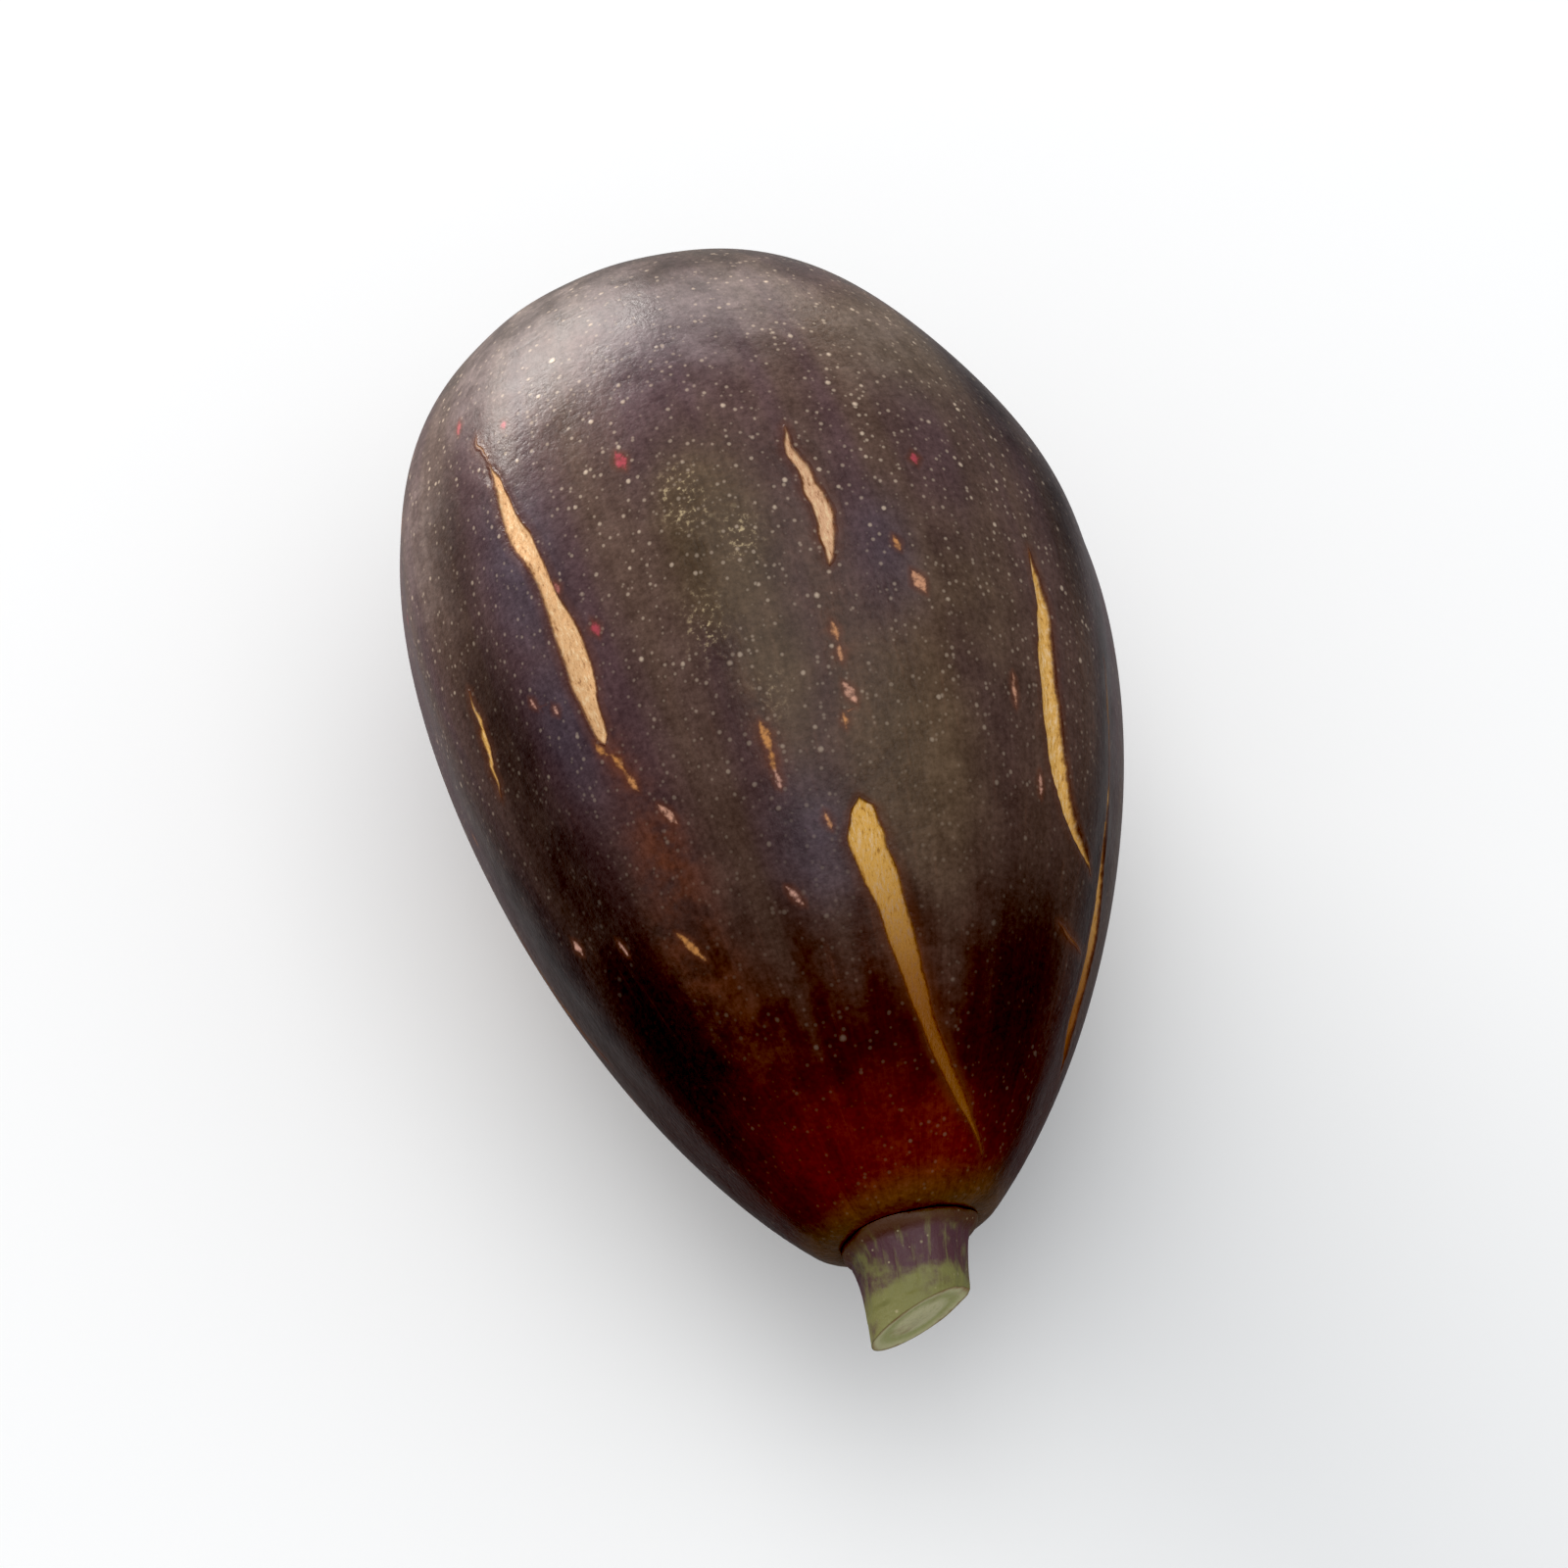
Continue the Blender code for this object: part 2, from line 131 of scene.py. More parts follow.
# Flecks. Each: place, slant, half length, half width, tone (0 orange tan, 1 pale pink, 2 red).
# A place is millimetres along and degrees round, and a slant is in degrees.
FLECKS = (
    (20.4, 111, 12, 0.75, 0.42, 2.0),
    (14.1, 130, 5, 0.40, 0.22, 1.9),
    (11.9, 142, 5, 0.60, 0.26, 1.8),
    (24.8, 64, 0, 0.42, 0.34, 2.0),
    (26.6, 128, 10, 0.42, 0.28, 1.6),
    (30.1, 124, 5, 0.58, 0.30, 2.0),
    (33.2, 70, 20, 0.85, 0.42, 0.5),
    (30.5, 72, 10, 0.50, 0.20, 0.2),
    (35.3, 86, 5, 0.60, 0.22, 0.3),
    (36.8, 86, -5, 0.55, 0.16, 0.4),
    (39.3, 86, 20, 0.80, 0.28, 0.7),
    (40.9, 88, 0, 0.45, 0.16, 0.2),
    (40.6, 102, 5, 0.95, 0.30, 0.0),
    (42.1, 102, -5, 0.70, 0.17, 0.0),
    (43.3, 102, 0, 0.50, 0.15, 0.9),
    (37.2, 131, 20, 0.60, 0.22, 0.0),
    (38.3, 129, 20, 0.60, 0.24, 0.0),
    (39.8, 128, 15, 0.70, 0.22, 0.2),
    (42.5, 124, 25, 0.85, 0.24, 0.7),
    (50.1, 131, 25, 1.20, 0.22, 0.0),
    (50.0, 105, 30, 0.75, 0.13, 1.0),
    (40.1, 54, 0, 1.05, 0.14, 0.6),
    (45.6, 48, 5, 0.75, 0.13, 0.8),
    (46.4, 95, 10, 0.55, 0.14, 0.3),
    (45.9, 160, 5, 0.55, 0.26, 1.0),
    (47.8, 148, 10, 0.55, 0.14, 0.9),
    (32.4, 140, 15, 0.38, 0.13, 1.0),
    (33.6, 136, 10, 0.35, 0.15, 1.0),
)
FLECK_MARGIN = 0.8

# Flecks strewn over the rest of the skin: how many, and the range of each of their values
STREWN_SEED = 11
STREWN_FLECKS = 46
STREWN_ALONG = (9, 60)
STREWN_AROUND = (165, 372)
STREWN_SLANT = (-20, 25)
STREWN_HALF_LENGTH = (0.35, 1.2)
STREWN_HALF_WIDTH = (0.10, 0.22)
STREWN_TONES = (0.0, 0.3, 0.6, 1.0, 1.1, 1.9)

ZONE_FALLOFF = 1.1

# Soft zones of colour, some of them painted shade, glow, sheen and glints. Each: place, half length, half
# width, strength.
ZONES = {
    "violet": (
        (24, 133, 8, 4, 0.8),
        (35, 136, 7, 3, 0.7),
        (31, 73, 6, 3, 0.6),
        (47, 98, 6, 4, 0.6),
        (12, 95, 7, 8, 0.5),
        (22, 250, 20, 12, 0.6),
    ),
    "olive": (
        (28, 101, 9, 4.5, 1.0),
        (36, 98, 7, 4, 0.7),
        (43, 76, 11, 6, 0.8),
        (34, 62, 9, 5, 0.6),
        (14.5, 54, 7, 7, 0.9),
        (30, 300, 18, 7, 0.7),
    ),
    # Painted shade: near-black where the flanks and the pressed right shoulder lie in shade
    "painted_shade": (
        (34, 150, 14, 5, 0.85),
        (43, 151, 14, 6, 0.85),
        (51, 152, 12, 7, 0.95),
        (20, 148, 9, 3.5, 0.7),
        (45, 171, 19, 7, 0.9),
        (18, 36, 9, 4, 0.85),
        (27, 30, 12, 4, 0.85),
        (37, 22, 16, 4, 0.8),
        (48, 22, 13, 5, 0.85),
        (56, 48, 9, 6, 0.8),
        (40, 205, 22, 8, 0.5),
    ),
    # Partly a real waxy bloom, partly a painted highlight: a pale sheen on the upper shoulders where the back
    # light catches them
    "bloom_and_sheen": (
        (8, 122, 8, 10, 1.0),
        (10, 84, 7, 9, 0.7),
        (15, 57, 8, 7, 0.5),
        (16, 158, 10, 5, 0.6),
        (18, 285, 12, 9, 0.5),
        (10, 215, 7, 7, 0.4),
    ),
    # Painted glow: deep red near the neck, for light shining through the skin
    "glow": ((64.5, 108, 6, 8, 1.0), (65, 78, 5, 6, 1.0), (60.5, 134, 5, 5, 0.5), (62, 290, 8, 7, 0.7)),
    "rusty": (
        (38.5, 129, 3, 1.3, 0.7),
        (45, 128, 5, 2.2, 0.9),
        (51, 130, 5, 2.4, 0.9),
        (56, 126, 4, 2.0, 0.6),
        (36, 86, 4, 1.0, 0.4),
        (41, 102, 3, 0.9, 0.5),
        (34, 230, 12, 2.4, 0.6),
    ),
    # Painted glints: pale cream specks standing in for highlights on cracked skin
    "painted_glints": (
        (24.5, 103, 2.6, 1.8, 1.0),
        (28, 96, 2.2, 1.6, 0.9),
        (33, 106, 3, 1.8, 0.8),
        (38, 99, 2.5, 1.6, 0.5),
        (36, 280, 8, 4, 0.7),
    ),
}


def pear_shape(turn):
    return np.sin(turn) * (1 + PEAR_FATNESS * np.cos(turn) + PEAR_TAPER * np.cos(3 * turn))


WIDEST = pear_shape(np.linspace(0, math.pi, WIDEST_SAMPLES)).max()


def turn_at(along):
    return np.arccos(np.clip(1 - 2 * along / PEAR_LENGTH, -1, 1))


def skin_radius(along):
    along = np.asarray(along, float)
    pear = BELLY_RADIUS * pear_shape(turn_at(along)) / WIDEST
    necked = 0.5 * (pear + NECK_RADIUS + np.sqrt((pear - NECK_RADIUS) ** 2 + 4 * NECK_BLEND**2))
    share = np.clip((along - NECK_STARTS) / (NECK_FORMED - NECK_STARTS), 0, 1)
    return pear + (necked - pear) * share


def unevenness(along, around):
    """How far soft ribs and lumps lift the skin, fading out at both ends."""
    fade = np.sin(math.pi * np.clip(along / FRUIT_LENGTH, 0, 1)) ** 0.8
    ribs = np.cos(RIBS * around + 0.9 * np.sin(2 * around + 0.5) + 0.5 * np.sin(along / RIBS_SWAY_OVER))
    two_lumps = np.cos(2 * around + 1.1 + along / TWO_LUMPS_TURN_OVER)
    three_lumps = np.cos(3 * around - 0.7 - along / THREE_LUMPS_TURN_OVER)
    return fade * (RIB_HEIGHT * ribs + LUMP_HEIGHT * (two_lumps + 0.7 * three_lumps))


def grow_uneven(points):
    """Sinks the eye, bows the axis and presses the right shoulder flat."""
    grown = np.array(points, float)
    from_axis = np.hypot(grown[:, 0], grown[:, 2])
    at_eye = np.exp(-((from_axis / EYE_DIMPLE_RADIUS) ** 2)) * (grown[:, 1] > -BELLY_RADIUS)
    grown[:, 1] -= EYE_DIMPLE_DEPTH * at_eye
    middle = FRUIT_LENGTH / 2
    grown[:, 0] += AXIS_BOW * (1 - ((-grown[:, 1] - middle) / middle) ** 2)
    beyond = PRESSED_EDGE * np.logaddexp(0, (grown @ PRESSED_TOWARDS - PRESSED_AT) / PRESSED_EDGE)
    return grown - beyond[:, None] * PRESSED_TOWARDS


def on_skin(along, around):
    radius = skin_radius(along) + unevenness(along, around)
    return grow_uneven(np.stack([radius * np.cos(around), -along, radius * np.sin(around)], axis=-1))


def skin_normal(along, around):
    lengthwise = on_skin(along + PROBE_STEP, around) - on_skin(along - PROBE_STEP, around)
    turn = PROBE_STEP / BELLY_RADIUS
    crosswise = on_skin(along, around + turn) - on_skin(along, around - turn)
    outward = np.cross(crosswise, lengthwise)
    return outward / np.linalg.norm(outward, axis=1)[:, None]


def eased_course(places, pieces):
    """A smooth course through a few places, by a spline that passes through each."""
    knots = np.array(places, float)
    padded = np.vstack([2 * knots[0] - knots[1], knots, 2 * knots[-1] - knots[-2]])
    found = []
    for step in np.linspace(0, len(knots) - 1, pieces + 1):
        first = min(int(step), len(knots) - 2)
        t = step - first
        a, b, c, d = padded[first : first + 4]
        found.append(b + 0.5 * t * (c - a + t * (2 * a - 5 * b + 4 * c - d + t * (3 * (b - c) + d - a))))
    return np.array(found)


def ring_places():
    """How far along each ring of the skin lies, evenly spaced over the curve. Then a table: how far
    along the curve's points lie, and how long the way over the skin from the eye to each is."""
    turns = np.linspace(0, float(turn_at(FRUIT_LENGTH)), CURVE_SAMPLES)
    alongs = PEAR_LENGTH / 2 * (1 - np.cos(turns))
    radii = skin_radius(alongs)
    way = np.concatenate([[0], np.cumsum(np.hypot(np.diff(alongs), np.diff(radii)))])
    lip = float(np.interp(EYE_PIT_RADIUS, radii[:SAMPLES_BY_THE_EYE], way[:SAMPLES_BY_THE_EYE]))
    even = np.linspace(lip, way[-1], SKIN_RINGS)
    return np.interp(even, way, alongs), alongs, way


def turned(outline, steps):
    """A closed solid of revolution about the fruit's axis, from places along it and radii."""
    bm = bmesh.new()
    verts = [bm.verts.new((radius, -along, 0)) for along, radius in outline]
    edges = [bm.edges.new(pair) for pair in zip(verts, verts[1:])]
    bmesh.ops.spin(
        bm,
        geom=verts + edges,
        cent=(0, 0, 0),
        axis=(0, 1, 0),
        angle=2 * math.pi,
        steps=steps,
        use_merge=True,
    )
    bmesh.ops.remove_doubles(bm, verts=bm.verts[:], dist=1e-6)
    face_outwards(bm)
    return bm


def face_outwards(bm):
    bmesh.ops.recalc_face_normals(bm, faces=bm.faces[:])
    if bm.calc_volume(signed=True) < 0:
        bmesh.ops.reverse_faces(bm, faces=bm.faces[:])


def as_object(name, bm):
    mesh = bpy.data.meshes.new(name)
    bm.to_mesh(mesh)
    bm.free()
    mesh.shade_smooth()
    made = bpy.data.objects.new(name, mesh)
    bpy.context.scene.collection.objects.link(made)
    return made


def coordinates(mesh):
    flat = np.empty(3 * len(mesh.vertices))
    mesh.vertices.foreach_get("co", flat)
    return flat.reshape(-1, 3)


def set_coordinates(mesh, points):
    mesh.vertices.foreach_set("co", np.ascontiguousarray(points, float).ravel())
    mesh.update()


def set_numbers(mesh, name, numbers):
    attribute = mesh.attributes.new(name, "FLOAT", "POINT")
    attribute.data.foreach_set("value", np.ascontiguousarray(numbers, np.float32))


def set_vectors(mesh, name, vectors):
    attribute = mesh.attributes.new(name, "FLOAT_VECTOR", "POINT")
    attribute.data.foreach_set("vector", np.ascontiguousarray(vectors, np.float32).ravel())


DROOP_TURN = np.array(Matrix.Rotation(NECK_DROOP, 3, "X"))


def find_lie():
    """Where the local origin comes to lie: the laid-down form is set into the solid fruit's box."""
    low, high = (np.array(corner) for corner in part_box("fruit"))
    alongs = np.linspace(LIE_STARTS, FRUIT_LENGTH, LIE_SAMPLES_ALONG)
    along, around = np.meshgrid(alongs, np.linspace(-math.pi, math.pi, LIE_SAMPLES_AROUND))
    points = on_skin(along.ravel(), around.ravel()) @ DROOP_TURN.T
    my_low, my_high = points.min(axis=0), points.max(axis=0)
    lie = (low + high - my_low - my_high) / 2
    lie[2] = high[2] - my_high[2]
    return lie


LIE = find_lie()


def laid_down(points):
    return points @ DROOP_TURN.T + LIE


def mark_fields(marks, points, wander, margin):
    """For each skin point: how far it is off the nearest mark's middle line, the mark's half width
    there, and the mark's number. Lengths in millimetres; the width is negative far from any mark."""
    count = len(points)
    offset = np.full(count, NO_MARK)
    opening = np.full(count, -NO_MARK)
    owner = np.zeros(count, int)
    for number, places in enumerate(marks):
        pieces = COURSE_POINTS if len(places) > 3 else SHORT_COURSE_POINTS
        course = eased_course(places, pieces)
        way = np.linspace(0, 1, len(course))
        swing = wander * (np.sin(9 * way + number) + 0.5 * np.sin(23 * way + 2.1 * number))
        course_along, course_around = course[:, 0] * MM, np.radians(course[:, 1] + swing)
        middle, normals = on_skin(course_along, course_around), skin_normal(course_along, course_around)
        run = np.gradient(middle, axis=0)
        run /= np.linalg.norm(run, axis=1)[:, None]
        sides = np.cross(normals, run)
        uneven = 1 + 0.07 * np.sin(19 * way + 3 * number) + 0.05 * np.sin(47 * way + number)
        half_open = np.maximum(course[:, 2], 0) * uneven
        low, high = middle.min(axis=0) - MARK_REACH, middle.max(axis=0) + MARK_REACH
        near = np.flatnonzero(np.all((points > low) & (points < high), axis=1))
        if not len(near):
            continue
        gaps = np.linalg.norm(points[near][:, None, :] - middle[None, :, :], axis=2)
        closest = gaps.argmin(axis=1)
        away = points[near] - middle[closest]
        sideways = np.einsum("ij,ij->i", away, sides[closest]) / MM
        past_end = np.abs(np.einsum("ij,ij->i", away, run[closest])) / MM
        at_end = (closest == 0) | (closest == len(course) - 1)
        opened = half_open[closest] - np.where(at_end, past_end, 0)
        nearer = np.abs(sideways) - opened < np.abs(offset[near]) - opening[near]
        wins = nearer & (np.abs(sideways) < np.maximum(opened, 0) + margin)
        chosen = near[wins]
        offset[chosen] = sideways[wins]
        opening[chosen] = opened[wins]
        owner[chosen] = number
    return offset, opening, owner


def fleck_marks():
    """The flecks in view and others strewn over the rest, each as a short mark, and their tones."""
    chance = np.random.default_rng(STREWN_SEED)
    flecks = list(FLECKS)
    for _ in range(STREWN_FLECKS):
        place = [chance.uniform(*span) for span in (STREWN_ALONG, STREWN_AROUND, STREWN_SLANT)]
        size = [chance.uniform(*span) for span in (STREWN_HALF_LENGTH, STREWN_HALF_WIDTH)]
        flecks.append((*place, *size, float(chance.choice(STREWN_TONES))))
    marks, tones = [], []
    for along, around, slant, half_length, half_width, tone in flecks:
        down = half_length * math.cos(math.radians(slant))
        radius = float(skin_radius(along * MM)) / MM
        aside = math.degrees(half_length * math.sin(math.radians(slant)) / radius)
        start, end = (along - down, around + aside, 0), (along + down, around - aside, 0)
        marks.append((start, (along, around, half_width), end))
        tones.append(tone)
    return marks, np.array(tones)


def zone_share(zones, points):
    """How strongly a soft zone of colour covers each skin point, from 0 to 1."""
    share = np.zeros(len(points))
    for along, around, half_length, half_width, strength in zones:
        at = (np.array([along * MM]), np.array([math.radians(around)]))
        centre = on_skin(*at)[0]
        run = (on_skin(at[0] + PROBE_STEP, at[1]) - on_skin(at[0] - PROBE_STEP, at[1]))[0]
        run /= np.linalg.norm(run)
        away = (points - centre) / MM
        lengthwise = away @ run
        crosswise = np.sqrt(np.maximum((away**2).sum(axis=1) - lengthwise**2, 0))
        reach = (lengthwise / half_length) ** 2 + (crosswise / half_width) ** 2
        share = np.maximum(share, strength * np.exp(-ZONE_FALLOFF * reach))
    return share


def split_relief(offset, opening, depth):
    """How far splits sink the skin, and their lips raise it, in metres."""
    inside = np.clip(1 - (offset / np.maximum(opening, 0.05)) ** 2, 0, 1) ** SPLIT_ROUNDNESS
    off_lip = (np.abs(offset) - opening - SPLIT_LIP_AWAY) / SPLIT_LIP_SPREAD
    beside = np.exp(-(off_lip**2)) * np.clip(opening / SPLIT_LIP_SPREAD, 0, 1)
    return SPLIT_LIP * beside - depth * MM * inside


def make_skin():
    """The fruit's skin, from the eye's pit to the socket in the neck's end, with its splits sunk in."""
    alongs, table_along, table_way = ring_places()
    rounding = np.clip((alongs - FRUIT_LENGTH) / NECK_EDGE + 1, 0, 1)
    radii = skin_radius(alongs) - NECK_EDGE * (1 - np.sqrt(1 - rounding**2))
    pit = [
        (EYE_PIT_DEPTH, 0),
        (EYE_PIT_DEPTH, 0.55 * EYE_PIT_RADIUS),
        (0.7 * EYE_PIT_DEPTH, 0.97 * EYE_PIT_RADIUS),
        (0.25 * EYE_PIT_DEPTH, 0.99 * EYE_PIT_RADIUS),
    ]
    floor = FRUIT_LENGTH - SOCKET_DEPTH
    socket = [(FRUIT_LENGTH, SOCKET_RADIUS), (floor, SOCKET_RADIUS), (floor, 0)]
    skin_piece = as_object("fig_skin", turned(pit + list(zip(alongs, radii)) + socket, SKIN_STEPS))
    mesh = skin_piece.data
    points = coordinates(mesh)
    along, around = -points[:, 1], np.arctan2(points[:, 2], points[:, 0])
    radius = np.hypot(points[:, 0], points[:, 2])
    # The points of the eye's pit, of the socket and of the rounded neck edge lie deeper than the skin
    is_skin = radius > SKIN_SHARE * skin_radius(along)
    lift = np.where(is_skin, unevenness(along, around), 0)
    points[:, 0] += lift * np.cos(around)
    points[:, 2] += lift * np.sin(around)
    points = grow_uneven(points)

    depths, golds, courses = zip(*SPLITS)
    offset, opening, owner = mark_fields(courses, points, SPLIT_WANDER, SPLIT_MARGIN)
    depth = np.array(depths)[owner] * np.clip(opening / SPLIT_FULL_DEPTH_WIDTH, 0, 1)
    near = np.flatnonzero((offset < NO_MARK) & is_skin)
    relief = split_relief(offset[near], opening[near], depth[near])
    marks, tones = fleck_marks()
    fleck_offset, fleck_open, fleck_owner = mark_fields(marks, points, 0.0, FLECK_MARGIN)
    for name, zones in ZONES.items():
        set_numbers(mesh, name, zone_share(zones, points))
    points[near] += relief[:, None] * skin_normal(along[near], around[near])
    points = laid_down(points)
    points[:, 2] = np.maximum(points[:, 2], 0)
    set_coordinates(mesh, points)

    way = np.interp(along, table_along, table_way)
    spread = BELLY_RADIUS / MM
    set_vectors(mesh, "way", np.stack([spread * np.cos(around), spread * np.sin(around), way / MM], axis=-1))
    set_numbers(mesh, "along", along / MM)
    set_numbers(mesh, "split_offset", offset)
    set_numbers(mesh, "split_open", opening)
    set_numbers(mesh, "split_gold", np.array(golds)[owner])
    set_numbers(mesh, "fleck_offset", fleck_offset)
    set_numbers(mesh, "fleck_open", fleck_open)
    set_numbers(mesh, "fleck_tone", tones[fleck_owner])
    dress(skin_piece, "fruit", skin_finish())


def dress(piece, node, finish):
    """Gives a piece its material, and its place on the fixed model: it stands for one solid."""
    piece.data.materials.append(finish)
    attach(piece, "root")
    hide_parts(node)


class Finish:
    """One material, with short ways to add nodes to it. A number or a socket goes into any input."""

    def __init__(self, name):
        self.material = bpy.data.materials.new(name)
        self.material.use_nodes = True
        self.tree = self.material.node_tree
        self.shader = self.tree.nodes["Principled BSDF"]

    def feed(self, socket, value):
        if isinstance(value, bpy.types.NodeSocket):
            self.tree.links.new(value, socket)
        elif isinstance(value, tuple) and socket.type == "RGBA":
            socket.default_value = (*value, 1.0)
        else:
            socket.default_value = value

    def node(self, kind, inputs=(), **settings):
        made = self.tree.nodes.new("ShaderNode" + kind)
        for key, setting in settings.items():
            setattr(made, key, setting)
        for key, value in dict(inputs).items():
            self.feed(made.inputs[key], value)
        return made

    def surface(self, name, value):
        self.feed(self.shader.inputs[name], value)

    def relief(self, height):
        """Bumps the surface by a height in millimetres."""
        bump = self.node("Bump", {"Height": height, "Distance": MM, "Strength": 1.0})
        self.surface("Normal", bump.outputs["Normal"])

    def math(self, operation, *values, clamp=False):
        made = self.node("Math", operation=operation, use_clamp=clamp)
        for number, value in enumerate(values):
            self.feed(made.inputs[number], value)
        return made.outputs[0]

    def vector(self, operation, *values):
        made = self.node("VectorMath", operation=operation)
        for number, value in enumerate(values):
            self.feed(made.inputs[number], value)
        return made.outputs[0]

    def scaled(self, vector, factor):
        return self.node("VectorMath", {"Vector": vector, "Scale": factor}, operation="SCALE").outputs[0]

    def number_from(self, name):
        return self.node("Attribute", attribute_name=name).outputs["Fac"]

    def vector_from(self, name):
        return self.node("Attribute", attribute_name=name).outputs["Vector"]

    def millimetres(self):
        at = self.node("TexCoord").outputs["Object"]
        return self.vector("MULTIPLY", at, (1 / MM, 1 / MM, 1 / MM))

    def ramp(self, value, low, high, to_low=0.0, to_high=1.0):
        """A smooth step, from to_low where the value is low to to_high where it is high."""
        made = self.node(
            "MapRange",
            {"Value": value, "From Min": low, "From Max": high, "To Min": to_low, "To Max": to_high},
            interpolation_type="SMOOTHSTEP",
        )
        return made.outputs["Result"]

    def mix(self, share, under, over):
        """The colour under, covered by a share of the colour over."""
        made = self.node("Mix", data_type="RGBA")
        self.feed(made.inputs["Factor"], share)
        self.feed(made.inputs[6], under)
        self.feed(made.inputs[7], over)
        return made.outputs[2]

    def noise(self, at, size, detail=3.0, roughness=0.55):
        """Soft noise from 0 to 1, with features of about the given size in the units of at."""
        made = self.node(
            "TexNoise", {"Vector": at, "Scale": 1 / size, "Detail": detail, "Roughness": roughness}
        )
        return made.outputs["Fac"]

    def dots(self, at, spacing, radius, spread=0.6, ragged=0.0):
        """Dots of differing size, strewn at random, and the chance value of each from 0 to 1.
        A ragged that varies from about -0.5 to 0.5 makes their rims uneven."""
        made = self.node("TexVoronoi", {"Vector": at, "Scale": 1 / spacing})
        chance = self.node("SeparateColor", {"Color": made.outputs["Color"]}).outputs["Red"]
        size = self.math("MULTIPLY_ADD", chance, spread * radius / spacing, (1 - spread) * radius / spacing)
        part = self.math("ADD", self.math("DIVIDE", made.outputs["Distance"], size), ragged)
        return self.ramp(part, 1.20, 0.35), chance


# Colours of the skin, in linear light
PLUM = (0.108, 0.064, 0.068)
PLUM_BROWN = (0.100, 0.063, 0.050)
UMBER = (0.052, 0.037, 0.029)
VIOLET = (0.088, 0.064, 0.078)
OLIVE = (0.110, 0.073, 0.048)
PAINTED_SHADE_BLACK = (0.021, 0.013, 0.012)
DARK_BROWN = (0.072, 0.043, 0.033)
RED_BROWN = (0.042, 0.014, 0.010)
GLOW_RED = (0.110, 0.020, 0.012)
NECK_OLIVE = (0.13, 0.068, 0.028)
RUST = (0.145, 0.050, 0.028)
BLOOM_AND_SHEEN = (0.28, 0.23, 0.215)
PORE = (0.80, 0.63, 0.48)
GLINT_CREAM = (0.74, 0.58, 0.34)
FLECK_ORANGE = (0.60, 0.27, 0.09)
FLECK_PINK = (0.72, 0.40, 0.31)
FLECK_RED = (0.42, 0.075, 0.095)
BED_TAN = (0.78, 0.47, 0.28)
BED_GOLD = (0.80, 0.46, 0.12)
BED_PALE = (0.95, 0.70, 0.42)
BED_BROWN = (0.23, 0.080, 0.030)
BED_EDGE = (0.13, 0.048, 0.026)

# Patterns of the skin: their sizes, and then how high they stand, in millimetres
BAND_WIDTH = 5.0
FIBRE_WIDTH = 0.50
MOTTLE_SIZE = 2.6
GRAIN_SIZE = 0.36
CORK_SIZE = 0.20
MOTTLE_HEIGHT = 0.11
GRAIN_HEIGHT = 0.028
FIBRE_HEIGHT = 0.016
PORE_HEIGHT = 0.022
CORK_HEIGHT = 0.10
BED_SINK = 0.08
EDGE_HEIGHT = 0.05

# Factors on the coordinates: a small one along the fruit draws a pattern out lengthwise
LENGTHWISE = (1, 1, 0.08)
CORK_LENGTHWISE = (1, 1, 0.35)

# Pores: small, middling and large. Each: where the pattern starts, spacing, radius, how much the
# dots differ in size, and the ramp from their chance value to how strongly they show.
PORES = (
    ((0, 0, 0), 0.50, 0.16, 0.70, (0.1, 1.0, 0.04, 0.48)),
    ((31, 17, 5), 1.15, 0.20, 0.75, (0.1, 1.0, 0.08, 0.85)),
    ((7, 53, 11), 2.90, 0.25, 0.60, (0.0, 1.0, 0.40, 1.00)),
)
SKIN_SPECULAR = 0.27
SKIN_ROUGHNESS = 0.33


